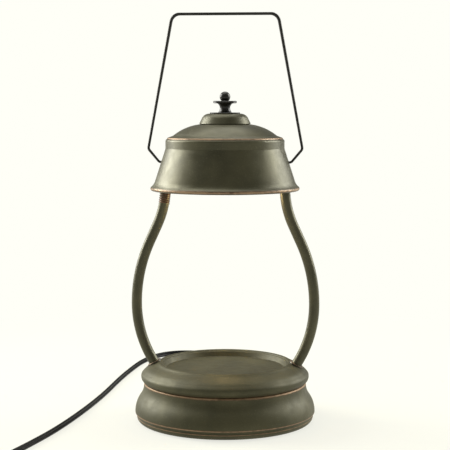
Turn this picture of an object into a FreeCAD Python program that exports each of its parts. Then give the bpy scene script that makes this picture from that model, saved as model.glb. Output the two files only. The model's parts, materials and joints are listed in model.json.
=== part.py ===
"""Candle warmer lamp: a spun base, two bowed tube arms, a lidded hood, a bail handle and a corded switch.

Lengths are in millimetres and angles in degrees. Z is up, X runs through both arms and the back is +Y.
The origin is on the table under the middle of the base.
"""
import FreeCAD
import Part
import Sketcher
import math
import os
from FreeCAD import Rotation, Vector

doc = FreeCAD.newDocument("CandleWarmerLamp")
sheet = doc.addObject("Spreadsheet::Sheet", "Sizes")


# ---------------------------------------------------------------- sizes that know their own expression

class Size:
    """A length or an angle, with the expression that works it out from the sheet's cells."""

    def __init__(self, value, text=None):
        self.value = float(value)
        self.text = text or "%.6g" % value

    def __add__(self, other):
        other = sized(other)
        return Size(self.value + other.value, "(%s + %s)" % (self.text, other.text))

    def __sub__(self, other):
        other = sized(other)
        return Size(self.value - other.value, "(%s - %s)" % (self.text, other.text))

    def __mul__(self, other):
        other = sized(other)
        return Size(self.value * other.value, "%s * %s" % (self.text, other.text))

    def __truediv__(self, other):
        other = sized(other)
        return Size(self.value / other.value, "%s / (%s)" % (self.text, other.text))

    def __radd__(self, other):
        return sized(other) + self

    def __rsub__(self, other):
        return sized(other) - self

    def __rmul__(self, other):
        return sized(other) * self

    def __neg__(self):
        return Size(-self.value, "(-1 * %s)" % self.text)


def sized(number):
    return number if isinstance(number, Size) else Size(number)


def sine(angle):
    angle = sized(angle)
    return Size(math.sin(math.radians(angle.value)), "sin(%s)" % angle.text)


def cosine(angle):
    angle = sized(angle)
    return Size(math.cos(math.radians(angle.value)), "cos(%s)" % angle.text)


def slope_angle(rise, run):
    """The angle from the X axis to the point at run, rise."""
    degrees = math.degrees(math.atan2(rise.value, run.value))
    return Size(degrees, "atan2(%s; %s) / 1 deg" % (rise.text, run.text))


class Cells:
    """The driving sizes: each one is a cell of the sheet with its own alias."""

    def __init__(self, **values):
        for row, (name, value) in enumerate(values.items(), start=1):
            sheet.set("A%d" % row, name.replace("_", " "))
            sheet.set("B%d" % row, str(value))
            sheet.setAlias("B%d" % row, name)
            setattr(self, name, Size(value, "Sizes.%s" % name))


def bind(thing, prop, amount):
    """Binds one property of an object to the sheet."""
    thing.setExpression(prop, sized(amount).text)


worked_out = doc.addObject("App::VarSet", "WorkedOut")


def kept(name, amount):
    """A size that follows from others, kept as a property of its own."""
    worked_out.addProperty("App::PropertyFloat", name)
    bind(worked_out, name, amount)
    return Size(amount.value, "WorkedOut.%s" % name)


def checked(thing):
    """The shape of an object, worked out now and known to be sound."""
    doc.recompute()
    if "Invalid" in thing.State or "Error" in thing.State:
        raise RuntimeError("%s didn't build: %s" % (thing.Name, thing.getStatusString()))
    if thing.Shape.isNull() or not thing.Shape.isValid() or not thing.Shape.Solids:
        raise RuntimeError("%s has no sound solid" % thing.Name)
    return thing.Shape


# ---------------------------------------------------------------- driving sizes

size = Cells(
    # sheet metal and fits
    sheet_metal=1.0,
    seat_gap=0.05,
    pin_fit=0.1,
    bore_fit=0.05,
    cut_past=1.0,
    turned_edge=0.3,
    disc_edge=0.2,
    # base, from its platform down to the table
    base_radius=82.5,
    platform_z=48.0,
    pan_setback=7.45,
    crest_slope=12.0,
    crest_start_radius=10.0,
    crest_slope_length=6.5,
    crest_top_radius=15.0,
    shoulder_radius=12.35,
    shoulder_turn=40.0,
    brow_radius=7.45,
    brow_turn=50.0,
    tuck_radius=11.4,
    tuck_turn=27.6,
    skirt_flange_length=5.1,
    skirt_bead_radius=1.3,
    skirt_neck_length=0.7,
    skirt_bend=36.3,
    skirt_hollow_radius=17.5,
    skirt_swell_radius=24.2,
    hem_bead_radius=2.4,
    hem_bead_turn=60.0,
    groove_radius=1.0,
    groove_turn=75.0,
    band_radius=4.6,
    band_turn=80.0,
    hem_radius=1.4,
    lip_corner=0.8,
    lip_length=5.5,
    plate_inset=7.5,
    vent_radius=15.0,
    post_inset=37.5,
    post_radius=4.0,
    post_screw_radius=1.5,
    post_screw_length=9.0,
    post_screw_room=1.0,
    post_head_radius=3.5,
    post_head_height=1.4,
    foot_inset=20.5,
    foot_radius=6.0,
    foot_stem_radius=2.5,
    foot_barb_radius=3.1,
    foot_barb_height=1.5,
    # arms
    tube_radius=4.75,
    tube_bore_radius=3.5,
    arm_top_out=0.5,
    arm_top_z=226.0,
    arm_top_length=10.8,
    arm_upper_radius=85.0,
    arm_straight_length=17.2,
    arm_lower_radius=103.0,
    arm_foot_out=0.25,
    arm_foot_up=1.2,
    arm_foot_tilt=33.2,
    arm_foot_length=13.0,
    collar_radius=6.4,
    collar_top=1.3,
    collar_edge=0.5,
    wedge_radius=8.0,
    wedge_depth=9.0,
    nut_across=13.0,
    nut_height=3.5,
    nut_crown=0.55,
    # hood
    hood_band_radius=53.9,
    hood_flange_length=6.0,
    hood_corner_radius=1.9,
    hood_band_height=6.25,
    hood_crease_radius=3.0,
    hood_cone_angle=18.0,
    hood_cone_length=30.7,
    hood_flare_radius=10.2,
    hood_flare_turn=34.0,
    rim_bead_radius=1.9,
    rim_bead_turn=250.0,
    lid_height=15.7,
    lid_setback=1.46,
    lid_hole_radius=3.3,
    lid_step_radius=2.5,
    lid_step_slope=39.0,
    lid_step_length=1.46,
    lid_crown_slope=9.0,
    lid_crown_length=4.5,
    lid_dome_radius=45.9,
    lid_dome_turn=30.0,
    lid_hollow_radius=4.0,
    lid_hollow_turn=20.0,
    lid_brim_length=4.1,
    lid_edge_radius=1.2,
    cap_height=7.2,
    cap_step=2.3,
    cap_shoulder_radius=7.5,
    cap_slope=64.0,
    cap_sink=1.82,
    washer_radius=13.7,
    washer_height=1.0,
    finial_neck_radius=6.0,
    finial_neck_height=0.4,
    finial_waist_curve=5.0,
    finial_waist_in=44.0,
    finial_waist_out=61.0,
    finial_disc_radius=10.6,
    finial_disc_height=2.2,
    finial_disc_edge=0.5,
    finial_ball_radius=4.8,
    finial_ball_rise=3.6,
    rod_radius=3.0,
    rod_rise=7.5,
    rod_nut_across=10.0,
    rod_nut_height=4.0,
    rod_tail=0.6,
    # yoke
    yoke_width=18.0,
    yoke_thickness=1.6,
    yoke_foot_drop=8.4,
    yoke_foot_margin=6.8,
    yoke_height=55.2,
    yoke_web_half=12.0,
    yoke_slope=62.0,
    yoke_inner_bend=1.5,
    yoke_outer_bend=3.1,
    # lampholder and bulb
    holder_radius=13.4,
    holder_edge=1.5,
    holder_height=15.7,
    holder_recess_radius=6.5,
    holder_recess_depth=5.2,
    holder_screw_x=9.4,
    holder_screw_radius=1.25,
    holder_screw_length=8.0,
    holder_screw_head=2.5,
    holder_screw_room=1.0,
    pin_circle=5.0,
    pin_radius=1.25,
    pin_head_radius=2.4,
    pin_head_height=2.0,
    pin_length=6.2,
    pin_root=3.0,
    slot_depth=7.4,
    slot_ledge=3.5,
    slot_clearance=0.5,
    bulb_twist=20.0,
    bulb_height=42.5,
    bulb_radius=25.0,
    bulb_glass=1.2,
    bulb_curve_radius=31.5,
    bulb_curve_turn=60.0,
    bulb_lip=0.6,
    bulb_throat_length=6.0,
    bulb_throat_bend=2.0,
    cover_height=1.6,
    cover_gap=0.1,
    capsule_radius=4.4,
    capsule_inset=10.0,
    capsule_length=12.0,
    capsule_pinch=3.0,
    capsule_shoulder=2.0,
    bulb_base_radius=13.0,
    bulb_base_waist=11.0,
    bulb_base_edge=1.0,
    bulb_base_gap=0.2,
    # wires inside the lamp
    lead_radius=0.85,
    lead_spacing=3.6,
    lead_tail=10.0,
    lead_foot_radius=10.0,
    lead_above_tube=6.0,
    lead_top_radius=14.0,
    lead_top_turn=60.0,
    lead_top_length=40.5,
    lead_hole_radius=3.6,
    block_length=14.0,
    block_width=12.0,
    block_top=4.0,
    wire_grip=4.0,
    core_corner=12.0,
    # bail handle
    wire_radius=1.1,
    pivot_drop=21.0,
    bail_pin_out=1.1,
    bail_pin_length=2.6,
    bail_root_radius=3.0,
    bail_root_turn=50.0,
    bail_root_length=12.4,
    bail_knee_radius=4.0,
    bail_leg_lean=10.5,
    bail_leg_length=114.4,
    bail_corner_radius=8.5,
    bail_head_radius=2.1,
    bail_head_height=1.0,
    # strain relief and cord
    cord_z=16.0,
    cord_width=5.4,
    cord_thickness=2.7,
    cord_inside=0.5,
    relief_inside=8.0,
    relief_outside=19.5,
    relief_root_radius=5.2,
    relief_tip_radius=3.9,
    relief_flange_radius=7.0,
    relief_flange_height=2.0,
    # in-line switch, lying along X
    switch_x=-49.0,
    switch_y=-246.0,
    switch_length=62.0,
    switch_width=26.0,
    switch_split_z=7.0,
    switch_top_z=14.0,
    switch_wall=1.6,
    switch_corner=12.5,
    switch_cavity_length=34.0,
    switch_cavity_width=14.0,
    switch_cord_z=4.4,
    rocker_half_length=10.2,
    rocker_half_width=5.6,
    rocker_gap=0.8,
    rocker_side_gap=0.3,
    rocker_pin_z=10.6,
    rocker_pin_radius=1.0,
    rocker_pin_length=18.0,
    rocker_depth=2.2,
    rocker_height=4.6,
    rocker_dip=3.6,
    rocker_tilt=8.0,
    contact_length=11.0,
    contact_width=4.0,
    contact_height=1.0,
    contact_gap=2.0,
    contact_offset=2.5,
    switch_screw_x=20.0,
    switch_screw_y=8.0,
    switch_screw_radius=1.4,
    switch_screw_head=2.6,
    switch_screw_inset=0.5,
    switch_screw_head_height=1.5,
    switch_screw_top=10.5,
    # plug, lying with its blades pointing to the left
    plug_x=-38.0,
    plug_y=-194.0,
    plug_z=5.6,
    plug_length=28.0,
    plug_width=25.0,
    plug_height=11.0,
    plug_corner=5.0,
    plug_edge=1.2,
    blade_spacing=12.7,
    blade_width=6.35,
    blade_thickness=1.5,
    blade_reach=17.5,
    blade_root=8.0,
    # coil of the spare cord
    coil_x=35.0,
    coil_y=-218.0,
    coil_radius=28.0,
    coil_half_width=5.8,
    coil_height=5.6,
    floor_gap=0.05,
)


# ---------------------------------------------------------------- outlines

class Path:
    """A line of runs and tangent turns; a turn to the left is positive."""

    def __init__(self, x, y, heading):
        self.start = (sized(x), sized(y))
        self.heading = sized(heading)
        self.moves = []
        self.marks = {}

    def run(self, length):
        self.moves.append((sized(length), None))
        return self

    def turn(self, radius, angle):
        self.moves.append((sized(radius), sized(angle)))
        return self

    def mark(self, name):
        """Names the corner that the path has reached."""
        self.marks[name] = len(self.moves)
        return self

    def corners(self, inward=None):
        """The ends of the moves and the size of each turn, for the path shifted to its right."""
        x, y = self.start
        heading = self.heading
        if inward is not None:
            x = x + inward * sine(heading)
            y = y - inward * cosine(heading)
        points = [(x, y)]
        turns = []
        for length, angle in self.moves:
            if angle is None:
                x = x + length * cosine(heading)
                y = y + length * sine(heading)
                turns.append(None)
            else:
                side = 1 if angle.value > 0 else -1
                radius = length if inward is None else length + side * inward
                after = heading + angle
                x = x + side * radius * (sine(after) - sine(heading))
                y = y - side * radius * (cosine(after) - cosine(heading))
                heading = after
                turns.append((radius, angle.value))
            points.append((x, y))
        return points, turns

    def fall_to(self, y):
        """A run that goes down to a level."""
        heading = self.heading
        for _, angle in self.moves:
            if angle is not None:
                heading = heading + angle
        return self.run((self.end()[1] - y) / (-sine(heading)))

    def end(self):
        return self.corners()[0][-1]

    def at(self, name):
        """The corner of that name."""
        return self.corners()[0][self.marks[name]]

    def through(self, name, x, y):
        """Moves the whole path so that a named corner lies at x, y."""
        corner_x, corner_y = self.at(name)
        self.start = (self.start[0] + x - corner_x, self.start[1] + y - corner_y)
        return self

    def out_to(self, name, x):
        """Moves the whole path along its first axis so that a named corner lies at x."""
        self.start = (self.start[0] + x - self.at(name)[0], self.start[1])
        return self


class Drawing:
    """A sketch on one of a body's own planes, with every corner and radius bound to the sheet."""

    SPOT = {"start": 1, "end": 2, "centre": 3}
    AXIS = {"origin": -1, "across": -1, "up": -2}

    def __init__(self, body, plane, height=None):
        origin_plane = [item for item in body.Origin.OriginFeatures if item.Role == plane][0]
        self.sketch = body.newObject("Sketcher::SketchObject", body.Name + "Sketch")
        self.sketch.AttachmentSupport = (origin_plane, [""])
        self.sketch.MapMode = "FlatFace"
        if height is not None:
            bind(self.sketch, "AttachmentOffset.Base.z", height)

    def hold(self, kind, edge, spot, length):
        """Binds the distance of a point from the sketch's origin, along one direction."""
        if abs(length.value) < 1e-9:
            axis = self.AXIS["up" if kind == "DistanceX" else "across"]
            self.sketch.addConstraint(Sketcher.Constraint("PointOnObject", edge, spot, axis))
            return
        rule = Sketcher.Constraint(kind, self.AXIS["origin"], self.SPOT["start"], edge, spot, length.value)
        index = self.sketch.addConstraint(rule)
        self.sketch.setExpression("Constraints[%d]" % index, length.text)

    def place(self, edge, spot, point):
        self.hold("DistanceX", edge, spot, sized(point[0]))
        self.hold("DistanceY", edge, spot, sized(point[1]))

    def radius(self, edge, radius):
        index = self.sketch.addConstraint(Sketcher.Constraint("Radius", edge, radius.value))
        self.sketch.setExpression("Constraints[%d]" % index, radius.text)

    def join(self, first, second):
        self.sketch.addConstraint(Sketcher.Constraint("Coincident", *first, *second))

    def straight(self, first, second):
        """A free line between two points that the caller joins or places."""
        return self.sketch.addGeometry(Part.LineSegment(flat(first), flat(second)))

    def bow(self, first, second, radius, angle):
        """An arc from one point to another; a turn to the left is positive."""
        a, b = flat(first), flat(second)
        chord = b - a
        side = 1 if angle > 0 else -1
        reach = side * radius.value * math.cos(math.radians(angle) / 2) / chord.Length
        centre = (a + b) * 0.5 + Vector(-chord.y, chord.x, 0) * reach
        low, high = (a, b) if side > 0 else (b, a)
        start = math.atan2(low.y - centre.y, low.x - centre.x)
        stop = math.atan2(high.y - centre.y, high.x - centre.x)
        circle = Part.Circle(centre, Vector(0, 0, 1), radius.value)
        return self.sketch.addGeometry(Part.ArcOfCircle(circle, start, stop))

    def chain(self, path, inward=None, closed=False):
        """Draws a path; gives its first and last ends with their points."""
        points, turns = path.corners(inward)
        before = None
        for number, bend in enumerate(turns):
            a, b = points[number], points[number + 1]
            if bend is None:
                edge = self.straight(a, b)
                ends = ((edge, self.SPOT["start"]), (edge, self.SPOT["end"]))
            else:
                edge = self.bow(a, b, *bend)
                ends = ((edge, self.SPOT["start"]), (edge, self.SPOT["end"]))
                if bend[1] < 0:
                    ends = ends[::-1]
            if before is None:
                first = (ends[0], a)
            else:
                self.join(before, ends[0])
            self.place(ends[0][0], ends[0][1], a)
            if bend is not None:
                self.radius(edge, bend[0])
            before = ends[1]
        if closed:
            self.join(before, first[0])
        else:
            self.place(before[0], before[1], points[-1])
        return first, (before, points[-1])

    def bridge(self, first, second):
        """A line between two ends that are drawn already."""
        edge = self.straight(first[1], second[1])
        self.join((edge, self.SPOT["start"]), first[0])
        self.join((edge, self.SPOT["end"]), second[0])

    def loop(self, points, first=None, last=None):
        """Straight lines through placed points, closed, or between two ends that are drawn already."""
        points = [(sized(x), sized(y)) for x, y in points]
        stops = points if first is None else [last[1]] + points + [first[1]]
        edges = [self.straight(a, b) for a, b in zip(stops, stops[1:])]
        if first is None:
            edges.append(self.straight(points[-1], points[0]))
            self.join((edges[-1], self.SPOT["end"]), (edges[0], self.SPOT["start"]))
            self.place(edges[0], self.SPOT["start"], points[0])
        else:
            self.join((edges[0], self.SPOT["start"]), last[0])
            self.join((edges[-1], self.SPOT["end"]), first[0])
        for before, after, point in zip(edges, edges[1:], stops[1:]):
            self.join((before, self.SPOT["end"]), (after, self.SPOT["start"]))
            self.place(after, self.SPOT["start"], point)

    def circle(self, x, y, radius):
        radius = sized(radius)
        centre = flat((x, y))
        edge = self.sketch.addGeometry(Part.Circle(centre, Vector(0, 0, 1), radius.value))
        self.place(edge, self.SPOT["centre"], (x, y))
        self.radius(edge, radius)


def flat(point):
    return Vector(sized(point[0]).value, sized(point[1]).value, 0)


# ---------------------------------------------------------------- solids

def new_body(name):
    return doc.addObject("PartDesign::Body", name)


def revolve(body, drawing):
    turned = body.newObject("PartDesign::Revolution", body.Name + "Revolution")
    turned.Profile = drawing.sketch
    turned.ReferenceAxis = (drawing.sketch, ["V_Axis"])
    turned.Angle = 360
    return body


def pad(body, drawing, height, symmetric=False):
    raised = body.newObject("PartDesign::Pad", body.Name + "Pad")
    raised.Profile = drawing.sketch
    raised.SideType = "Symmetric" if symmetric else "One side"
    bind(raised, "Length", height)
    return body


def spun_sheet(name, path, thickness=size.sheet_metal):
    """Sheet metal of one thickness, lying on the right of a path turned around Z."""
    body = new_body(name)
    drawing = Drawing(body, "XZ_Plane")
    outer_start, outer_end = drawing.chain(path)
    inner_start, inner_end = drawing.chain(path, thickness)
    drawing.bridge(outer_start, inner_start)
    drawing.bridge(outer_end, inner_end)
    return revolve(body, drawing)


def filled_form(name, path, inward, bottom_z):
    """Everything below a path that starts on the Z axis, down to a level."""
    body = new_body(name)
    drawing = Drawing(body, "XZ_Plane")
    start, end = drawing.chain(path, inward)
    drawing.loop([(end[1][0], bottom_z), (0, bottom_z)], first=start, last=end)
    return revolve(body, drawing)


def turned(name, corners):
    """A turned piece, from the corners of its half section."""
    body = new_body(name)
    drawing = Drawing(body, "XZ_Plane")
    drawing.loop(corners)
    return revolve(body, drawing)


def ring(name, bore, outside, low, high, edge=size.turned_edge):
    """A turned ring with its two outer corners chamfered."""
    outside, low, high = sized(outside), sized(low), sized(high)
    return turned(name, [(bore, low), (outside - edge, low), (outside, low + edge),
                         (outside, high - edge), (outside - edge, high), (bore, high)])


def disc(name, radius, low, high, edge=size.disc_edge):
    """A turned disc or peg with its two corners chamfered."""
    return ring(name, 0, radius, low, high, edge)


def rod_along(name, radius, length, x, y, z, axis=Vector(0, 0, 1), angle=0):
    """A plain round bar from a point, turned from Z around an axis by an angle."""
    bar = doc.addObject("Part::Cylinder", name)
    bind(bar, "Radius", radius)
    bind(bar, "Height", length)
    turn_to(bar, x, y, z, axis, angle)
    return bar


def turn_to(thing, x, y, z, axis=Vector(0, 0, 1), angle=0):
    angle = sized(angle)
    thing.Placement = FreeCAD.Placement(Vector(0, 0, 0), Rotation(axis, angle.value))
    bind(thing, "Placement.Base.x", x)
    bind(thing, "Placement.Base.y", y)
    bind(thing, "Placement.Base.z", z)
    if "Sizes" in angle.text:
        bind(thing, "Placement.Rotation.Angle", angle)


def gather(name, things):
    group = doc.addObject("Part::Compound", name)
    group.Links = things
    return group


def placed(name, source, x, y, z, axis=Vector(0, 0, 1), angle=0):
    """One more copy of a solid, at another place."""
    copy = gather(name, [source])
    turn_to(copy, x, y, z, axis, angle)
    return copy


def mirrored(name, source):
    """The same solid on the other arm's side."""
    copy = doc.addObject("Part::Mirroring", name)
    copy.Source = source
    copy.Normal = Vector(1, 0, 0)
    return copy


def pair(name, source):
    return gather(name, [source, mirrored(name + "Left", source)])


def around(name, source, places):
    """Copies of a solid at several places."""
    return gather(name, [placed("%sCopy%d" % (name, number), source, x, y, 0)
                         for number, (x, y) in enumerate(places)])


def cut(name, base, tools):
    """A solid less its tools, which don't touch each other."""
    remains = doc.addObject("Part::Cut", name)
    remains.Base = base
    remains.Tool = tools[0] if len(tools) == 1 else gather(name + "Tools", tools)
    return remains


def common(name, first, second):
    shared = doc.addObject("Part::Common", name)
    shared.Base = first
    shared.Tool = second
    return shared


def fused(name, things):
    whole = doc.addObject("Part::MultiFuse", name)
    whole.Shapes = things
    return whole


def hexagon(name, across, low, high, bore):
    """A hexagon nut with flats facing X, chamfered corners and a plain bore."""
    across, low, high = sized(across), sized(low), sized(high)
    body = new_body(name + "Prism")
    drawing = Drawing(body, "XY_Plane", low)
    corner = across / (2 * cosine(30))
    drawing.loop([(corner * cosine(angle), corner * sine(angle)) for angle in range(30, 390, 60)])
    drawing.circle(0, 0, bore)
    pad(body, drawing, high - low)
    return common(name, body, disc(name + "Crown", corner, low, high, edge=size.nut_crown))


def pipe(body, path, plane, radii, offset=0, height=None):
    """A round bar or tube swept along a path that starts straight up, straight down or along X."""
    along = Drawing(body, plane, height)
    along.chain(path)
    x, y = path.start
    if abs(math.sin(math.radians(path.heading.value))) > 0.5:
        section = Drawing(body, "XY_Plane", y)
        centre = (x, offset)
    elif plane == "XZ_Plane":
        section = Drawing(body, "YZ_Plane", x)
        centre = (offset, y)
    else:
        section = Drawing(body, "YZ_Plane", x)
        centre = (y, height)
    for radius in radii:
        section.circle(centre[0], centre[1], radius)
    swept = body.newObject("PartDesign::AdditivePipe", body.Name + "Pipe")
    swept.Profile = section.sketch
    swept.Spine = (along.sketch, [])
    return body


def rounded_block(name, length, width, corner, low, high):
    """An upright block with rounded corners, centred on the Z axis."""
    low, high = sized(low), sized(high)
    body = new_body(name)
    outline = Path(corner - length / 2, -width / 2, 0)
    for side in (length, width, length, width):
        outline.run(side - 2 * corner).turn(corner, 90)
    drawing = Drawing(body, "XY_Plane", low)
    drawing.chain(outline, closed=True)
    return pad(body, drawing, high - low)


def chamfer_top(body, amount):
    """Chamfers the edge all around a body's upper face."""
    faces = checked(body).Faces
    top = max(range(len(faces)), key=lambda number: faces[number].CenterOfMass.z)
    edge = body.newObject("PartDesign::Chamfer", body.Name + "Chamfer")
    edge.Base = (body.Group[-2], ["Face%d" % (top + 1)])
    bind(edge, "Size", amount)


def box(name, length, width, x, y, low, high):
    """An upright box, centred on x, y."""
    low, high = sized(low), sized(high)
    block = doc.addObject("Part::Box", name)
    bind(block, "Length", length)
    bind(block, "Width", width)
    bind(block, "Height", high - low)
    turn_to(block, x - sized(length) / 2, y - sized(width) / 2, low)
    return block


ALONG_X = {"axis": Vector(0, 1, 0), "angle": 90}
ALONG_Y = {"axis": Vector(1, 0, 0), "angle": -90}


# ---------------------------------------------------------------- base

def pan_path(platform_radius):
    return (Path(0, size.platform_z, 0)
            .run(platform_radius)
            .turn(size.crest_start_radius, size.crest_slope)
            .run(size.crest_slope_length)
            .turn(size.crest_top_radius, -size.crest_slope)
            .mark("crest")
            .turn(size.shoulder_radius, -size.shoulder_turn)
            .turn(size.brow_radius, -size.brow_turn)
            .mark("widest")
            .turn(size.tuck_radius, -size.tuck_turn))


rim_reach = pan_path(0).at("widest")[0]
platform_radius = kept("platform_radius", size.base_radius - size.pan_setback - rim_reach)
pan = pan_path(platform_radius)
pan_edge_z = kept("pan_edge_z", pan.end()[1])


def skirt_path():
    return (Path(0, pan_edge_z - size.seat_gap, 0)
            .run(size.skirt_flange_length)
            .turn(size.skirt_bead_radius, Size(-90))
            .run(size.skirt_neck_length)
            .turn(size.skirt_hollow_radius, size.skirt_bend)
            .turn(size.skirt_swell_radius, -size.skirt_bend)
            .mark("widest")
            .turn(size.hem_bead_radius, -size.hem_bead_turn)
            .turn(size.groove_radius, size.groove_turn)
            .turn(size.band_radius, -size.band_turn)
            .turn(size.hem_radius, size.band_turn + size.hem_bead_turn - size.groove_turn - 180)
            .turn(size.lip_corner, Size(90))
            .run(size.lip_length)
            .out_to("widest", size.base_radius))


plate_top_z = kept("plate_top_z", skirt_path().end()[1])
plate_bottom_z = plate_top_z - size.sheet_metal
relief_start = size.base_radius - size.relief_inside
cord_start = size.base_radius - size.cord_inside


def spread(count, circle, first_angle):
    """Places spread evenly around a circle."""
    angles = [first_angle + number * 360 / count for number in range(count)]
    return [(circle * cosine(angle), circle * sine(angle)) for angle in angles]


post_places = spread(3, size.base_radius - size.post_inset, 30)
foot_places = spread(4, size.base_radius - size.foot_inset, 45)

# Each arm stands on the shoulder's crest. Its lower arc leaves the crest at the foot's tilt and is upright
# again at the belly; from there two arcs and a straight run between them lead to the upright top end.
crest_x, crest_z = pan.at("crest")
arm_top_x = size.hood_band_radius + size.arm_top_out
arm_foot_x = kept("arm_foot_x", crest_x + size.arm_foot_out)
arm_foot_z = kept("arm_foot_z", crest_z + size.arm_foot_up)
belly_out = arm_foot_x + size.arm_lower_radius * (1 - cosine(size.arm_foot_tilt)) - arm_top_x
belly_drop = (size.arm_top_z - size.arm_top_length - arm_foot_z
              - size.arm_lower_radius * sine(size.arm_foot_tilt))
straight = size.arm_straight_length
both_radii = kept("both_radii", (belly_drop * belly_drop + belly_out * belly_out - straight * straight)
                  / (2 * belly_out))
arm_belly_radius = kept("arm_belly_radius", both_radii - size.arm_upper_radius)
arm_lean = kept("arm_lean", slope_angle(belly_drop, both_radii - belly_out)
                - slope_angle(straight, both_radii))


def arm_path():
    return (Path(arm_top_x, size.arm_top_z, -90)
            .run(size.arm_top_length)
            .turn(size.arm_upper_radius, arm_lean)
            .run(size.arm_straight_length)
            .turn(arm_belly_radius, -arm_lean)
            .turn(size.arm_lower_radius, -size.arm_foot_tilt)
            .run(size.arm_foot_length))


# The yoke's feet are bolted to the arms' top ends; lid, hood, cap, lampholder and bulb all hang from its web.
yoke_foot_z = size.arm_top_z - size.yoke_foot_drop
yoke_foot_end = arm_top_x + size.yoke_foot_margin
web_top_z = kept("web_top_z", yoke_foot_z + size.yoke_height)
web_bottom_z = web_top_z - size.yoke_thickness
lid_flat_z = kept("lid_flat_z", web_top_z + size.sheet_metal)
hood_flange_z = kept("hood_flange_z", lid_flat_z - size.lid_height)
cap_top_z = lid_flat_z + size.cap_height
washer_top_z = cap_top_z + size.washer_height
rod_top_z = cap_top_z + size.rod_rise
holder_bottom_z = kept("holder_bottom_z", web_bottom_z - size.holder_height)
bulb_face_z = holder_bottom_z - size.bulb_height
pivot_z = hood_flange_z - size.pivot_drop
bail_pin_start = size.hood_band_radius + size.bail_pin_out

FOOT_TILT = {"axis": Vector(0, 1, 0), "angle": size.arm_foot_tilt}


def at_arm_foot(name, source):
    """A piece drawn upright, put on the slanted end of the right arm."""
    return placed(name, source, arm_foot_x, 0, arm_foot_z, **FOOT_TILT)


def make_base():
    reach = size.wedge_depth
    hole = ring("ArmHole", 0, size.tube_radius + size.bore_fit, -reach, reach)
    holes = [at_arm_foot("ArmHoleRight", hole)]
    holes.append(mirrored("ArmHoleLeft", holes[0]))
    top = cut("base_top", spun_sheet("Pan", pan), holes)

    relief_hole = rod_along("ReliefHole", size.relief_root_radius + size.pin_fit, size.wedge_depth * 2,
                            0, relief_start, size.cord_z, **ALONG_Y)
    skirt = cut("base_skirt", spun_sheet("Skirt", skirt_path()), [relief_hole])

    post = turned("Post", [(0, plate_top_z + size.post_screw_length),
                           (size.post_screw_radius + size.bore_fit, plate_top_z + size.post_screw_length),
                           (size.post_screw_radius + size.bore_fit, plate_top_z),
                           (size.post_radius, plate_top_z),
                           (size.post_radius, size.platform_z - size.sheet_metal),
                           (0, size.platform_z - size.sheet_metal)])
    posts = around("base_posts", post, post_places)

    head_z = plate_bottom_z - size.post_head_height
    screw_top = plate_top_z + size.post_screw_length - size.post_screw_room
    screw = turned("PostScrew", [(0, head_z), (size.post_head_radius - size.collar_edge, head_z),
                                 (size.post_head_radius, head_z + size.collar_edge),
                                 (size.post_head_radius, plate_bottom_z),
                                 (size.post_screw_radius, plate_bottom_z),
                                 (size.post_screw_radius, screw_top), (0, screw_top)])
    screws = around("base_screws", screw, post_places)

    foot_top = plate_top_z + size.foot_barb_height
    foot = turned("Foot", [(0, 0), (size.foot_radius - size.collar_edge, 0),
                           (size.foot_radius, size.collar_edge),
                           (size.foot_radius, plate_bottom_z), (size.foot_stem_radius, plate_bottom_z),
                           (size.foot_stem_radius, plate_top_z), (size.foot_barb_radius, plate_top_z),
                           (size.foot_stem_radius, foot_top), (0, foot_top)])
    feet = around("base_feet", foot, foot_places)

    plate = new_body("base_bottom_plate")
    drawing = Drawing(plate, "XY_Plane", plate_bottom_z)
    drawing.circle(0, 0, size.base_radius - size.plate_inset)
    drawing.circle(0, 0, size.vent_radius)
    for x, y in post_places:
        drawing.circle(x, y, size.post_screw_radius + size.bore_fit)
    for x, y in foot_places:
        drawing.circle(x, y, size.foot_stem_radius + size.bore_fit)
    pad(plate, drawing, size.sheet_metal)
    return [top, skirt, posts, screws, feet, plate]


# ---------------------------------------------------------------- arms

def make_arms():
    right = pipe(new_body("arm_right"), arm_path(), "XZ_Plane", [size.tube_radius, size.tube_bore_radius])
    left = mirrored("arm_left", right)
    bore = size.tube_radius + size.bore_fit

    sleeve = ring("CollarSleeve", bore, size.collar_radius, -size.wedge_depth, size.collar_top,
                  edge=size.collar_edge)
    outside = filled_form("PanOutside", pan, -size.seat_gap, 0)
    collar = cut("Collar", at_arm_foot("CollarPlaced", sleeve), [outside])
    collars = pair("arm_foot_collars", collar)

    washer = ring("WedgeBlank", bore, size.wedge_radius, -size.wedge_depth, size.wedge_depth)
    inside = filled_form("PanInside", pan, size.sheet_metal + size.seat_gap, 0)
    wedge = common("Wedge", at_arm_foot("WedgePlaced", washer), inside)
    wedges = pair("arm_foot_wedges", wedge)

    low_nut = hexagon("FootNut", size.nut_across, -size.wedge_depth - size.nut_height, -size.wedge_depth,
                      bore)
    foot_nuts = pair("arm_foot_nuts", at_arm_foot("FootNutPlaced", low_nut))

    yoke_bottom = yoke_foot_z - size.yoke_thickness
    under = hexagon("UnderNut", size.nut_across, yoke_bottom - size.nut_height, yoke_bottom, bore)
    over = hexagon("OverNut", size.nut_across, yoke_foot_z, yoke_foot_z + size.nut_height, bore)
    nuts = gather("TopNuts", [under, over])
    top_nuts = pair("arm_top_nuts", placed("TopNutsPlaced", nuts, arm_top_x, 0, 0))
    return [right, left, collars, wedges, foot_nuts, top_nuts]


# ---------------------------------------------------------------- hood

def shade_path():
    return (Path(0, hood_flange_z, 0)
            .run(size.hood_flange_length)
            .turn(size.hood_corner_radius, Size(-90))
            .mark("band")
            .run(size.hood_band_height)
            .turn(size.hood_crease_radius, size.hood_cone_angle)
            .run(size.hood_cone_length)
            .turn(size.hood_flare_radius, size.hood_flare_turn)
            .turn(size.rim_bead_radius, -size.rim_bead_turn)
            .out_to("band", size.hood_band_radius))


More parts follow.
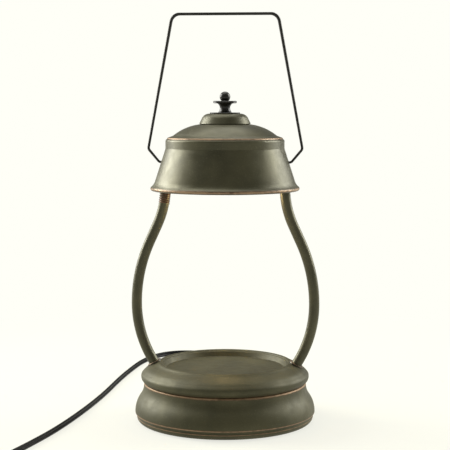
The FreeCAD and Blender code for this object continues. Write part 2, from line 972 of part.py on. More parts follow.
def lid_path(flat_length):
    brim_slope = size.lid_crown_slope + size.lid_dome_turn - size.lid_hollow_turn
    return (Path(size.lid_hole_radius, lid_flat_z, 0)
            .run(flat_length)
            .turn(size.lid_step_radius, -size.lid_step_slope)
            .run(size.lid_step_length)
            .turn(size.lid_step_radius, size.lid_step_slope - size.lid_crown_slope)
            .run(size.lid_crown_length)
            .turn(size.lid_dome_radius, -size.lid_dome_turn)
            .turn(size.lid_hollow_radius, size.lid_hollow_turn)
            .run(size.lid_brim_length)
            .turn(size.lid_edge_radius, brim_slope - 90)
            .fall_to(hood_flange_z))


lid_reach = lid_path(0).end()[0]
lid_flat_length = kept("lid_flat_length", size.hood_band_radius - size.lid_setback - lid_reach)


def cap_path():
    return (Path(size.lid_hole_radius, cap_top_z, 0)
            .run(lid_flat_length - size.cap_step)
            .turn(size.cap_shoulder_radius, -size.cap_slope)
            .fall_to(lid_flat_z - size.cap_sink))


def make_finial():
    """A turned knob: waisted neck, thin disc and ball, with a blind bore for the rod."""
    body = new_body("FinialTurned")
    drawing = Drawing(body, "XZ_Plane")
    waist = Path(size.finial_neck_radius, washer_top_z + size.finial_neck_height, 90 + size.finial_waist_in)
    waist.turn(size.finial_waist_curve, -size.finial_waist_in - size.finial_waist_out)
    disc_low = waist.end()[1]
    disc_high = disc_low + size.finial_disc_height
    rim, edge = size.finial_disc_radius, size.finial_disc_edge
    bore = size.rod_radius + size.bore_fit
    first, last = drawing.chain(waist)
    drawing.loop([(rim - edge, disc_low), (rim, disc_low + edge), (rim, disc_high - edge),
                  (rim - edge, disc_high), (0, disc_high), (0, rod_top_z), (bore, rod_top_z),
                  (bore, washer_top_z), (size.finial_neck_radius, washer_top_z)], first=first, last=last)
    revolve(body, drawing)
    ball = doc.addObject("Part::Sphere", "FinialBall")
    bind(ball, "Radius", size.finial_ball_radius)
    turn_to(ball, 0, 0, disc_high + size.finial_ball_rise)
    return fused("finial", [body, ball])


def make_hood():
    pin_hole = rod_along("BailHole", size.wire_radius + size.pin_fit, size.bail_root_length * 2,
                         bail_pin_start - size.bail_root_length, 0, pivot_z, **ALONG_X)
    shade = cut("hood_shade", spun_sheet("Shade", shade_path()), [pair("BailHoles", pin_hole)])
    dome = spun_sheet("hood_dome", lid_path(lid_flat_length))
    cap = spun_sheet("hood_cap", cap_path())
    washer = ring("cap_washer", size.lid_hole_radius, size.washer_radius, cap_top_z, washer_top_z)
    rod = disc("hood_rod", size.rod_radius, web_bottom_z - size.rod_nut_height - size.rod_tail, rod_top_z)
    bore = size.rod_radius + size.bore_fit
    low = hexagon("LowRodNut", size.rod_nut_across, web_bottom_z - size.rod_nut_height, web_bottom_z, bore)
    high = hexagon("HighRodNut", size.rod_nut_across, lid_flat_z, lid_flat_z + size.rod_nut_height,
                   bore)
    return [shade, dome, cap, washer, rod, gather("hood_rod_nuts", [low, high]), make_finial()]


# ---------------------------------------------------------------- yoke, lampholder and bulb

def lead_path():
    """From the wire block in the base, up the arm's bore and through the yoke into the lampholder."""
    return (Path(0, 0, 0)
            .run(size.lead_tail)
            .turn(size.lead_foot_radius, 90 - size.arm_foot_tilt)
            .run(lead_foot_length)
            .turn(size.arm_lower_radius, size.arm_foot_tilt)
            .turn(arm_belly_radius, arm_lean)
            .run(size.arm_straight_length)
            .turn(size.arm_upper_radius, -arm_lean)
            .run(size.arm_top_length)
            .mark("arm top")
            .run(size.lead_above_tube)
            .turn(size.lead_top_radius, size.lead_top_turn)
            .run(size.lead_top_length)
            .through("arm top", arm_top_x, size.arm_top_z))


lead_drop = arm_foot_z - size.cord_z - size.lead_foot_radius * (1 - sine(size.arm_foot_tilt))
lead_foot_length = kept("lead_foot_length", lead_drop / cosine(size.arm_foot_tilt))
lead_start_x = lead_path().start[0]
lead_end_x, lead_end_z = lead_path().end()
LEAD_SLOPE = {"axis": Vector(0, 1, 0), "angle": 180 - size.lead_top_turn}


def yoke_path():
    """The strap's upper side, from the left foot to the right foot."""
    bends = size.yoke_inner_bend + size.yoke_outer_bend
    rise = web_top_z - yoke_foot_z - bends * (1 - cosine(size.yoke_slope))
    leg = rise / sine(size.yoke_slope)
    foot = (yoke_foot_end - size.yoke_web_half - bends * sine(size.yoke_slope)
            - leg * cosine(size.yoke_slope))
    return (Path(-yoke_foot_end, yoke_foot_z, 0)
            .run(foot)
            .turn(size.yoke_inner_bend, size.yoke_slope)
            .run(leg)
            .turn(size.yoke_outer_bend, -size.yoke_slope)
            .run(2 * size.yoke_web_half)
            .turn(size.yoke_outer_bend, -size.yoke_slope)
            .run(leg)
            .turn(size.yoke_inner_bend, size.yoke_slope)
            .run(foot))


def make_yoke():
    strap = new_body("YokeStrap")
    drawing = Drawing(strap, "XZ_Plane")
    upper_start, upper_end = drawing.chain(yoke_path())
    lower_start, lower_end = drawing.chain(yoke_path(), size.yoke_thickness)
    drawing.bridge(upper_start, lower_start)
    drawing.bridge(upper_end, lower_end)
    pad(strap, drawing, size.yoke_width, symmetric=True)
    low = yoke_foot_z - size.yoke_thickness
    tube_hole = rod_along("YokeTubeHole", size.tube_radius + size.pin_fit, size.yoke_thickness * 2,
                          arm_top_x, 0, low - size.seat_gap)
    rod_hole = rod_along("YokeRodHole", size.rod_radius + size.pin_fit, size.yoke_thickness * 2,
                         0, 0, web_bottom_z - size.seat_gap)
    head = rod_along("YokeScrewHead", size.holder_screw_head + size.pin_fit, size.yoke_thickness,
                     size.holder_screw_x, 0, web_top_z - size.yoke_thickness / 2)
    shank = rod_along("YokeScrewHole", size.holder_screw_radius + size.pin_fit, size.yoke_thickness * 2,
                      size.holder_screw_x, 0, web_bottom_z - size.seat_gap)
    screw_hole = fused("YokeScrewTool", [head, shank])
    lead_hole = rod_along("YokeLeadHole", size.lead_hole_radius, size.lead_top_length / 2,
                          lead_end_x, 0, lead_end_z, **LEAD_SLOPE)
    tools = [pair("YokeTubeHoles", tube_hole), rod_hole, pair("YokeScrewHoles", screw_hole),
             mirrored("YokeLeadHoleLeft", lead_hole)]
    return cut("hood_yoke", strap, tools)


def arc_slot(name, half_width, low, high):
    """A slot around the Z axis, as long as the bulb's twist, with round ends."""
    low, high = sized(low), sized(high)
    body = new_body(name)
    outline = (Path(size.pin_circle + half_width, 0, 90)
               .turn(size.pin_circle + half_width, size.bulb_twist)
               .turn(half_width, Size(90))
               .turn(half_width, Size(90))
               .turn(size.pin_circle - half_width, -size.bulb_twist)
               .turn(half_width, Size(90))
               .turn(half_width, Size(90)))
    drawing = Drawing(body, "XY_Plane", low)
    drawing.chain(outline, closed=True)
    return pad(body, drawing, high - low)


HALF_TURN = {"axis": Vector(0, 0, 1), "angle": 180}


def make_holder():
    bottom, top = holder_bottom_z, web_bottom_z
    blank = ring("HolderBlank", 0, size.holder_radius, bottom, top, size.holder_edge)
    recess = rod_along("HolderRecess", size.holder_recess_radius, size.holder_recess_depth * 2,
                       0, 0, top - size.holder_recess_depth)
    narrow = size.pin_radius + size.slot_clearance
    wide = size.pin_head_radius + size.slot_clearance
    ledge = bottom + size.slot_ledge
    track = arc_slot("PinTrack", narrow, bottom - size.pin_fit, ledge + size.pin_fit)
    room = arc_slot("PinRoom", wide, ledge, bottom + size.slot_depth)
    entry = rod_along("PinEntry", wide, size.slot_depth, size.pin_circle * cosine(size.bulb_twist),
                      size.pin_circle * sine(size.bulb_twist), bottom - size.pin_fit)
    slot = fused("PinSlot", [track, room, entry])
    other_slot = placed("PinSlotOther", slot, 0, 0, 0, **HALF_TURN)
    thread = size.holder_screw_length - size.yoke_thickness + size.holder_screw_room
    screw_hole = rod_along("HolderScrewHole", size.holder_screw_radius + size.bore_fit, thread * 2,
                           size.holder_screw_x, 0, top - thread)
    grip = size.wire_grip
    tools = [recess, slot, other_slot, pair("HolderScrewHoles", screw_hole)]
    for number, side in enumerate((1, -1)):
        hole = rod_along("HolderLeadHole%d" % number, size.lead_radius + size.bore_fit, grip * 2,
                         lead_end_x, side * size.lead_spacing / 2, lead_end_z, **LEAD_SLOPE)
        tools.append(mirrored("HolderLeadHoleLeft%d" % number, hole))
    holder = cut("lamp_holder", blank, tools)

    low = web_top_z - size.holder_screw_length
    half = web_top_z - size.yoke_thickness / 2
    screw = turned("HolderScrew", [(0, low), (size.holder_screw_radius, low),
                                   (size.holder_screw_radius, half), (size.holder_screw_head, half),
                                   (size.holder_screw_head, web_top_z),
                                   (0, web_top_z)])
    return [holder, pair("holder_screws", placed("HolderScrewRight", screw, size.holder_screw_x, 0, 0))]


def reflector_path():
    return (Path(0, 0, -90)
            .run(size.bulb_throat_length)
            .turn(size.bulb_throat_bend, size.bulb_curve_turn)
            .turn(size.bulb_curve_radius, -size.bulb_curve_turn)
            .run(size.bulb_lip)
            .mark("rim")
            .through("rim", size.bulb_radius, bulb_face_z))


def make_bulb():
    reflector = spun_sheet("bulb_reflector", reflector_path(), size.bulb_glass)
    cover_low = bulb_face_z + size.cover_gap
    cover = disc("bulb_cover", size.bulb_radius - size.bulb_glass - size.cover_gap * 2, cover_low,
                 cover_low + size.cover_height)
    throat, neck_top = reflector_path().start
    bore = throat + size.bore_fit
    bore_top = neck_top + size.cover_gap
    low = neck_top - size.bulb_throat_length + size.bulb_base_gap
    top = holder_bottom_z - size.bulb_base_gap
    middle = (low + top) / 2
    wide, waist, edge = size.bulb_base_radius, size.bulb_base_waist, size.bulb_base_edge
    blank = turned("BulbBaseBlank", [(0, bore_top), (bore, bore_top), (bore, low), (wide - edge, low),
                                     (wide, low + edge), (wide, middle), (waist, middle + wide - waist),
                                     (waist, top), (0, top)])
    hole = rod_along("BulbPinHole", size.pin_radius + size.bore_fit, size.pin_root * 2,
                     size.pin_circle, 0, top - size.pin_root)
    base = cut("bulb_base", blank, [pair("BulbPinHoles", hole)])
    head_low = top + size.pin_length - size.pin_head_height
    head_top = top + size.pin_length
    pin = turned("BulbPin", [(0, top - size.pin_root), (size.pin_radius, top - size.pin_root),
                             (size.pin_radius, head_low), (size.pin_head_radius, head_low),
                             (size.pin_head_radius, head_top), (0, head_top)])
    pins = pair("bulb_pins", placed("BulbPinRight", pin, size.pin_circle, 0, 0))

    capsule = new_body("bulb_capsule")
    drawing = Drawing(capsule, "XZ_Plane")
    envelope = (Path(0, bulb_face_z + size.capsule_inset, 0).turn(size.capsule_radius, Size(90))
                .run(size.capsule_length))
    first, last = drawing.chain(envelope)
    shoulder_z = envelope.end()[1] + size.capsule_shoulder
    drawing.loop([(size.capsule_pinch, shoulder_z), (size.capsule_pinch, bore_top), (0, bore_top)],
                 first=first, last=last)
    revolve(capsule, drawing)
    return [reflector, cover, capsule, base, pins]


# ---------------------------------------------------------------- wires inside the lamp

def make_wires():
    nodes = []
    for name, side in (("lead_live", 1), ("lead_neutral", -1)):
        y = side * size.lead_spacing / 2
        lead = pipe(new_body(name + "Right"), lead_path(), "XZ_Plane", [size.lead_radius], y, -y)
        nodes.append(mirrored(name, lead))

    wire_hole = size.lead_radius + size.bore_fit
    low, high = plate_top_z, size.cord_z + size.block_top
    right = size.wire_grip - lead_start_x
    right_end = right + size.block_length - 2 * size.wire_grip
    left_end = right_end - size.block_length
    block = box("WireBlock", size.block_length, size.block_width, (left_end + right_end) / 2, 0, low, high)
    holes = []
    for number, side in enumerate((1, -1)):
        holes.append(rod_along("WireBlockHole%d" % number, wire_hole, size.block_length * 2,
                               left_end - size.wire_grip, side * size.lead_spacing / 2, size.cord_z,
                               **ALONG_X))
    nodes.append(cut("wire_block", block, holes))

    cores = []
    for number, side in enumerate((1, -1)):
        offset = side * size.lead_spacing / 2
        start_x = right_end - size.wire_grip
        core = (Path(start_x, offset, 0)
                .run(-start_x - size.core_corner)
                .turn(size.core_corner - offset, Size(90))
                .run(cord_start - size.core_corner))
        cores.append(pipe(new_body("Core%d" % number), core, "XY_Plane", [size.lead_radius],
                          height=size.cord_z))
    nodes.append(gather("cord_cores", cores))
    return nodes


# ---------------------------------------------------------------- bail handle

def bail_path():
    head_lean = 90 - size.bail_leg_lean
    half = (Path(bail_pin_start, pivot_z, 0)
            .run(size.bail_pin_length + size.bail_head_height)
            .turn(size.bail_root_radius, size.bail_root_turn)
            .run(size.bail_root_length)
            .turn(size.bail_knee_radius, 90 + size.bail_leg_lean - size.bail_root_turn)
            .run(size.bail_leg_length)
            .turn(size.bail_corner_radius, head_lean))
    back = half.moves[::-1]
    half.run(2 * half.end()[0])
    half.moves += back
    return half


def make_bail():
    wire = pipe(new_body("BailWire"), bail_path(), "XZ_Plane", [size.wire_radius])
    head = rod_along("BailHead", size.bail_head_radius, size.bail_head_height,
                     bail_pin_start, 0, pivot_z, **ALONG_X)
    return [fused("bail_handle", [wire, head, mirrored("BailHeadLeft", head)])]


# ---------------------------------------------------------------- strain relief and cord

def stadium(name, length, clearance=0):
    """The cord's flat section, wide along X, raised along Z."""
    body = new_body(name)
    drawing = Drawing(body, "XY_Plane")
    half = size.cord_thickness / 2 + clearance
    flat_length = size.cord_width - size.cord_thickness
    outline = (Path(-flat_length / 2, -half, 0)
               .run(flat_length).turn(half, Size(90)).turn(half, Size(90))
               .run(flat_length).turn(half, Size(90)).turn(half, Size(90)))
    drawing.chain(outline, closed=True)
    return pad(body, drawing, length)


def make_relief():
    length = size.relief_inside + size.relief_outside
    flange = size.relief_flange_height
    sleeve = turned("ReliefSleeve", [(0, 0), (size.relief_flange_radius, 0),
                                     (size.relief_flange_radius, flange),
                                     (size.relief_root_radius, flange), (size.relief_tip_radius, length),
                                     (0, length)])
    relief = cut("ReliefBored", sleeve, [stadium("ReliefBore", length, size.bore_fit)])
    return placed("strain_relief", relief, 0, relief_start, size.cord_z, **ALONG_Y)


# The cord lies flat on the table, its centre half a thickness up; it leaves the base along +Y.
LAID_Z = size.cord_thickness.value / 2 + size.floor_gap.value
SWITCH_Z = size.switch_cord_z.value
PLUG_Z = size.plug_z.value
LAMP_SIDE_ROUTE = [
    (0, cord_start.value, size.cord_z.value), (0, 120, size.cord_z.value), (1.5, 160, LAID_Z),
    (0.5, 204, LAID_Z), (-10.7, 262, LAID_Z), (-41.4, 301, LAID_Z), (-77, 306.5, LAID_Z),
    (-100.7, 290, LAID_Z), (-114.5, 253, LAID_Z), (-120.3, 205, LAID_Z), (-124.6, 150.5, LAID_Z),
    (-127.5, 80, LAID_Z), (-134.2, 8.5, LAID_Z),
    (-144.5, -64, LAID_Z), (-157, -118, LAID_Z), (-168, -158, LAID_Z), (-166, -198, LAID_Z),
    (-146, -229, LAID_Z), (-112, -246, SWITCH_Z), (-76, -246, SWITCH_Z)]
SWITCH_SIDE_ROUTE = [
    (-22, -246, SWITCH_Z), (-3.5, -246, SWITCH_Z), (16, -247, LAID_Z), (35, -246, LAID_Z)]
PLUG_END_ROUTE = [
    (35, -190, LAID_Z), (14, -191.5, LAID_Z), (-7, -194, PLUG_Z), (-28, -194, PLUG_Z)]


def cord_line(route, arc_share=0.45):
    """Straight runs joined by arcs that take the same share of the shorter run at each corner."""
    points = [Vector(*point) for point in route]
    edges = []
    radii = []
    start = points[0]
    for before, corner, after in zip(points, points[1:], points[2:]):
        into = (corner - before).normalize()
        out = (after - corner).normalize()
        half_turn = into.getAngle(out) / 2
        shorter = min(before.distanceToPoint(corner), corner.distanceToPoint(after))
        reach = arc_share * shorter
        radius = reach / math.tan(half_turn)
        inner = (out - into).normalize()
        middle = corner + inner * (radius / math.cos(half_turn) - radius)
        arc_start = corner - into * reach
        arc_end = corner + out * reach
        edges.append(Part.LineSegment(start, arc_start).toShape())
        edges.append(Part.Arc(arc_start, middle, arc_end).toShape())
        radii.append(radius)
        start = arc_end
    edges.append(Part.LineSegment(start, points[-1]).toShape())
    return Part.Wire(edges), radii


def cord_section(start, along):
    """The flat section, lying level and square to the cord's start."""
    half = size.cord_thickness.value / 2
    flat_half = size.cord_width.value / 2 - half
    across = along.cross(Vector(0, 0, 1)).normalize()
    up = across.cross(along)
    corners = [start + across * (flat_half * a) + up * (half * b)
               for a, b in ((-1, -1), (1, -1), (1, 1), (-1, 1))]
    right = start + across * (flat_half + half)
    left = start - across * (flat_half + half)
    return Part.Wire([Part.LineSegment(corners[0], corners[1]).toShape(),
                      Part.Arc(corners[1], right, corners[2]).toShape(),
                      Part.LineSegment(corners[2], corners[3]).toShape(),
                      Part.Arc(corners[3], left, corners[0]).toShape()])


def cord_tube(name, route):
    """A stretch of flat cord along a route, kept level."""
    line, radii = cord_line(route)
    along = (Vector(*route[1]) - Vector(*route[0])).normalize()
    sweep = Part.BRepOffsetAPI.MakePipeShell(line)
    sweep.setBiNormalMode(Vector(0, 0, 1))
    section = cord_section(Vector(*route[0]), along)
    sweep.add(section)
    sweep.build()
    sweep.makeSolid()
    tube = doc.addObject("Part::Feature", name)
    tube.Shape = sweep.shape()
    expected = Part.Face(section).Area * line.Length
    print("%s length %.1f, least radius %.1f, volume %.1f against %.1f"
          % (name, line.Length, min(radii), tube.Shape.Volume, expected))
    return tube


def make_cord():
    coil = ring("Coil", size.coil_radius - size.coil_half_width, size.coil_radius + size.coil_half_width,
                size.floor_gap, size.coil_height, edge=size.cord_thickness / 2)
    return [make_relief(),
            cord_tube("cord_lamp_side", LAMP_SIDE_ROUTE),
            cord_tube("cord_switch_side", SWITCH_SIDE_ROUTE),
            placed("cord_coil", coil, size.coil_x, size.coil_y, 0),
            cord_tube("cord_plug_end", PLUG_END_ROUTE)]


# ---------------------------------------------------------------- in-line switch

def at_switch(name, source, z=0, **turn):
    return placed(name, source, size.switch_x, size.switch_y, z, **turn)


def make_switch():
    low, split, high = size.floor_gap, size.switch_split_z, size.switch_top_z
    wall, past, corner = size.switch_wall, size.cut_past, size.switch_corner
    cord_slot_low = size.switch_cord_z - size.cord_thickness / 2 - size.bore_fit
    cord_slot_high = size.switch_cord_z + size.cord_thickness / 2 + size.bore_fit

    shell = rounded_block("SwitchBottomBlank", size.switch_length, size.switch_width, corner, low, split)
    room = box("SwitchBottomRoom", size.switch_cavity_length, size.switch_cavity_width, 0, 0, low + wall,
               split + past)
    channel = box("SwitchChannel", size.switch_length * 2, size.cord_width + 2 * size.bore_fit, 0, 0,
                  cord_slot_low, cord_slot_high)
    screw_x, screw_y = size.switch_screw_x, size.switch_screw_y
    head_low = low + size.switch_screw_inset
    head_high = head_low + size.switch_screw_head_height
    fit = size.bore_fit
    screw = turned("SwitchScrew", [(0, head_low), (size.switch_screw_head, head_low),
                                   (size.switch_screw_head, head_high), (size.switch_screw_radius, head_high),
                                   (size.switch_screw_radius, size.switch_screw_top),
                                   (0, size.switch_screw_top)])
    bore = turned("SwitchScrewBore", [(0, low - past), (size.switch_screw_head + fit, low - past),
                                      (size.switch_screw_head + fit, head_high + fit),
                                      (size.switch_screw_radius + fit, head_high + fit),
                                      (size.switch_screw_radius + fit, size.switch_screw_top + fit),
                                      (0, size.switch_screw_top + fit)])
    screws = gather("SwitchScrews", [placed("SwitchScrewNear", screw, screw_x, screw_y, 0),
                                     placed("SwitchScrewFar", screw, -screw_x, -screw_y, 0)])
    bores = gather("SwitchScrewBores", [placed("SwitchBoreNear", bore, screw_x, screw_y, 0),
                                        placed("SwitchBoreFar", bore, -screw_x, -screw_y, 0)])
    inside = fused("SwitchInside", [room, channel])
    bottom = at_switch("switch_bottom", cut("SwitchBottom", shell, [inside, bores]))

    lid = rounded_block("SwitchTopBlank", size.switch_length, size.switch_width, corner, split, high)
    lid_room = box("SwitchTopRoom", size.switch_cavity_length, size.switch_cavity_width, 0, 0, split - past,
                   high - wall)
    window = box("SwitchWindow", 2 * (size.rocker_half_length + size.rocker_gap),
                 2 * (size.rocker_half_width + size.rocker_side_gap), 0, 0, split, high + past)
    pin_hole = rod_along("RockerPinHole", size.rocker_pin_radius + fit, size.rocker_pin_length,
                         0, -size.rocker_pin_length / 2, size.rocker_pin_z, **ALONG_Y)
    lid_inside = fused("SwitchTopInside", [lid_room, window, pin_hole])
    top = at_switch("switch_top", cut("SwitchTop", lid, [lid_inside, bores]))

    rocker = new_body("RockerBlank")
    drawing = Drawing(rocker, "XZ_Plane")
    reach, down, up = size.rocker_half_length, -size.rocker_depth, size.rocker_height
    drawing.loop([(-reach, down), (reach, down), (reach, up), (0, size.rocker_dip), (-reach, up)])
    pad(rocker, drawing, 2 * size.rocker_half_width, symmetric=True)
    own_hole = rod_along("RockerHole", size.rocker_pin_radius + fit, size.rocker_pin_length,
                         0, -size.rocker_pin_length / 2, 0, **ALONG_Y)
    rocker = at_switch("switch_rocker", cut("Rocker", rocker, [own_hole]), size.rocker_pin_z,
                       axis=Vector(0, 1, 0), angle=size.rocker_tilt)
    pin = rod_along("RockerPin", size.rocker_pin_radius, size.rocker_pin_length - 2 * fit,
                    0, fit - size.rocker_pin_length / 2, size.rocker_pin_z, **ALONG_Y)
    contacts = []
    for number, side in enumerate((1, -1)):
        contacts.append(box("Contact%d" % number, size.contact_length, size.contact_width,
                            side * (size.contact_length / 2 + size.contact_gap), side * size.contact_offset,
                            low + wall, low + wall + size.contact_height))
    return [bottom, top, rocker, at_switch("rocker_pin", pin),
            at_switch("switch_contacts", gather("Contacts", contacts)), at_switch("switch_screws", screws)]


# ---------------------------------------------------------------- plug

def make_plug():
    half = size.plug_height / 2
    blank = rounded_block("PlugBlank", size.plug_length, size.plug_width, size.plug_corner,
                          size.plug_z - half, size.plug_z + half)
    chamfer_top(blank, size.plug_edge)
    face_x = -size.plug_length / 2
    blades = []
    slots = []
    for number, side in enumerate((1, -1)):
        y = side * size.blade_spacing / 2
        length = size.blade_reach + size.blade_root
        middle = face_x + size.blade_root - length / 2
        low, high = size.plug_z - size.blade_width / 2, size.plug_z + size.blade_width / 2
        blades.append(box("Blade%d" % number, length, size.blade_thickness, middle, y, low, high))
        slots.append(box("BladeSlot%d" % number, length + 2 * size.bore_fit,
                         size.blade_thickness + 2 * size.bore_fit, middle, y,
                         low - size.bore_fit, high + size.bore_fit))
    entry = box("PlugEntry", size.plug_length / 2, size.cord_width + 2 * size.bore_fit,
                size.plug_length / 2, 0,
                size.plug_z - size.cord_thickness / 2 - size.bore_fit,
                size.plug_z + size.cord_thickness / 2 + size.bore_fit)
    body = cut("PlugCut", blank, slots + [entry])
    place = {"x": size.plug_x, "y": size.plug_y, "z": 0}
    return [placed("plug_body", body, **place), placed("plug_blades", gather("Blades", blades), **place)]


# ---------------------------------------------------------------- the whole lamp

nodes = (make_base() + make_arms() + make_hood() + [make_yoke()] + make_holder() + make_bulb() + make_wires()
         + make_bail() + make_cord() + make_switch() + make_plug())
doc.recompute()
for thing in doc.Objects:
    if "Invalid" in thing.State or "Error" in thing.State:
        raise RuntimeError("%s didn't build: %s" % (thing.Name, thing.getStatusString()))

os.makedirs("parts", exist_ok=True)
for node in nodes:
    checked(node).exportStep("parts/%s.step" % node.Label)
    print("%-18s %d solids, %9.1f mm3" % (node.Label, len(node.Shape.Solids), node.Shape.Volume))
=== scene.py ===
import json
import math

import bmesh
import bpy
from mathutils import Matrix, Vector


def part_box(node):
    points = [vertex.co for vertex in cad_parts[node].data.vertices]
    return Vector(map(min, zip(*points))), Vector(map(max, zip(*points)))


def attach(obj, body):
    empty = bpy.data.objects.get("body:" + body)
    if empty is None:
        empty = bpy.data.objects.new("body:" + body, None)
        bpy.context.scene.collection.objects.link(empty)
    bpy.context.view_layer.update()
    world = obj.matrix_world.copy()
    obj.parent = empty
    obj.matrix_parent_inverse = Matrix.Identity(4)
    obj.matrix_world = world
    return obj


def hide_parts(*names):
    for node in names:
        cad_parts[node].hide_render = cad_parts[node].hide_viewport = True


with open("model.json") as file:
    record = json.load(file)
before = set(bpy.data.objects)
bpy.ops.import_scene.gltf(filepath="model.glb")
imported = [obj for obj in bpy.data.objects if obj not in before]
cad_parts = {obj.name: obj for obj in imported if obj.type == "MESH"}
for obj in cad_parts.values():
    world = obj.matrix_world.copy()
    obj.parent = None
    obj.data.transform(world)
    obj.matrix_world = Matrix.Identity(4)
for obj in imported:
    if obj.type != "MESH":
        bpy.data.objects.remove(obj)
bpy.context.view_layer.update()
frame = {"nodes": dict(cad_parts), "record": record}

# The scene is in metres. Routes and worn rings are in mm, and a size times MM is one in mm.
MM = 0.001
UP = Vector((0, 0, 1))


def linked(name, data):
    """A new object with that data, in the scene."""
    thing = bpy.data.objects.new(name, data)
    bpy.context.scene.collection.objects.link(thing)
    return thing


# ---------------------------------------------------------------- camera

# the camera that fits the photograph
CAMERA_DISTANCE = 1.169
CAMERA_HEIGHT = 0.2865
CAMERA_TURN = math.radians(5.0)
CAMERA_DOWN = math.radians(5.21)
CAMERA_LENS = 103.1
CAMERA_SENSOR = 36


def make_camera():
    data = bpy.data.cameras.new("Camera")
    data.lens = CAMERA_LENS
    data.sensor_width = CAMERA_SENSOR
    camera = linked("Camera", data)
    camera.location = (CAMERA_DISTANCE * math.sin(CAMERA_TURN), -CAMERA_DISTANCE * math.cos(CAMERA_TURN),
                       CAMERA_HEIGHT)
    camera.rotation_euler = (math.pi / 2 - CAMERA_DOWN, 0, CAMERA_TURN)
    bpy.context.scene.camera = camera


# ---------------------------------------------------------------- meshes

SHARP_ANGLE = math.radians(50)
CURVE_STEPS = 10


def glide(value, low, high):
    """0 below low, 1 above high and a smooth step between them."""
    share = min(max((value - low) / (high - low), 0), 1)
    return share * share * (3 - 2 * share)


def smooth_line(route):
    """The points, in metres, of a NURBS spline that has the route's points as its control points."""
    data = bpy.data.curves.new("guide", "CURVE")
    data.dimensions = "3D"
    data.resolution_u = CURVE_STEPS
    spline = data.splines.new("NURBS")
    spline.points.add(len(route) - 1)
    for point, place in zip(spline.points, route):
        point.co = (place[0] * MM, place[1] * MM, place[2] * MM, 1)
    spline.order_u = 3
    spline.use_endpoint_u = True
    guide = bpy.data.objects.new("guide", data)
    line = bpy.data.meshes.new_from_object(guide)
    points = [vertex.co.copy() for vertex in line.vertices]
    bpy.data.objects.remove(guide)
    bpy.data.curves.remove(data)
    bpy.data.meshes.remove(line)
    return points


def directions(points):
    """The direction of a line at each of its points."""
    return [(after - before).normalized()
            for before, after in zip(points[:1] + points[:-1], points[1:] + points[-1:])]


def add_skin(vertices, faces, rings, looped=False):
    """Adds rings of as many points each and the skin over them: a loop, or a tube with two end faces."""
    count = len(rings[0])
    starts = [len(vertices) + number * count for number in range(len(rings))]
    for ring in rings:
        vertices += ring
    for near, far in zip(starts, starts[1:] + starts[:1] if looped else starts[1:]):
        faces += [(near + spot, near + (spot + 1) % count, far + (spot + 1) % count, far + spot)
                  for spot in range(count)]
    if not looped:
        faces.append(tuple(range(starts[0], starts[0] + count))[::-1])
        faces.append(tuple(range(starts[-1], starts[-1] + count)))


def mesh_piece(name, vertices, faces, material, flat=False):
    """A piece with its faces turned outwards, smooth between its sharp edges unless it is flat."""
    mesh = bpy.data.meshes.new(name)
    mesh.from_pydata(vertices, [], faces)
    work = bmesh.new()
    work.from_mesh(mesh)
    bmesh.ops.recalc_face_normals(work, faces=work.faces)
    work.to_mesh(mesh)
    work.free()
    mesh.update()
    mesh.set_sharp_from_angle(angle=SHARP_ANGLE)
    if flat:
        mesh.shade_flat()
    mesh.materials.append(material)
    return linked(name, mesh)


def spun(name, outlines, steps, material):
    """Closed outlines of radius and height, turned once round the upright axis."""
    vertices, faces = [], []
    for outline in outlines:
        rings = []
        for step in range(steps):
            angle = 2 * math.pi * step / steps
            rings.append([(radius * math.cos(angle), radius * math.sin(angle), height)
                          for radius, height in outline])
        add_skin(vertices, faces, rings, looped=True)
    return mesh_piece(name, vertices, faces, material)


def put(piece, place, turn):
    """Moves a piece and turns it about its own origin, before it rides a body."""
    piece.location = place
    piece.rotation_euler = turn
    bpy.context.view_layer.update()


# ---------------------------------------------------------------- cord

CORD_WIDTH = 5.4 * MM
CORD_THICKNESS = 2.7 * MM
# degrees at which each core's outline has its points; the web joins the cores at 180
CORE_ANGLES = range(-160, 161, 40)

# heights of the lead's middle in the sleeve, on the table, in the switch and in the plug
SLEEVE_Z = 16
LAID_Z = 1.4
SWITCH_Z = 4.4
PLUG_Z = 5.6
PLUG_Y = -194

COIL_MIDDLE = (35, -218)
# radius of the outer lane and of the inner one, and height of the upper layer above the lower
COIL_LANES = (30.7, 24.9)
COIL_RISE = 2.75
COIL_TURNS = 4.5
COIL_STEPS = 16
# the turns between which the lead goes to the inner lane, to the upper layer and to the outer lane
COIL_IN, COIL_UP, COIL_OUT = (1.1, 1.4), (2.1, 2.4), (3.1, 3.4)

# the part's own cord points, before and after the coil
CORD_ROUTE_START = [
    (0, 82, SLEEVE_Z), (0, 120, SLEEVE_Z), (1.5, 160, LAID_Z),
    (0.5, 204, LAID_Z), (-10.7, 262, LAID_Z), (-41.4, 301, LAID_Z),
    (-77, 306.5, LAID_Z), (-100.7, 290, LAID_Z), (-114.5, 253, LAID_Z), (-120.3, 205, LAID_Z),
    (-124.6, 150.5, LAID_Z), (-127.5, 80, LAID_Z), (-134.2, 8.5, LAID_Z), (-144.5, -64, LAID_Z),
    (-157, -118, LAID_Z), (-168, -158, LAID_Z), (-166, -198, LAID_Z), (-146, -229, LAID_Z),
    (-112, -246, SWITCH_Z), (-76, -246, SWITCH_Z),
    (-22, -246, SWITCH_Z), (-3.5, -246, SWITCH_Z), (16, -248, LAID_Z)]
CORD_ROUTE_END = [(14, -189.5, LAID_Z), (-7, PLUG_Y, PLUG_Z), (-28, PLUG_Y, PLUG_Z)]

# the lead rolls over onto its edge along the first of these stretches and back along the second
EDGE_TURN = math.radians(80)
EDGE_RISE = (60, 130)
EDGE_FALL = (790, 860)

CORD_NODES = ["cord_lamp_side", "cord_switch_side", "cord_coil", "cord_plug_end"]


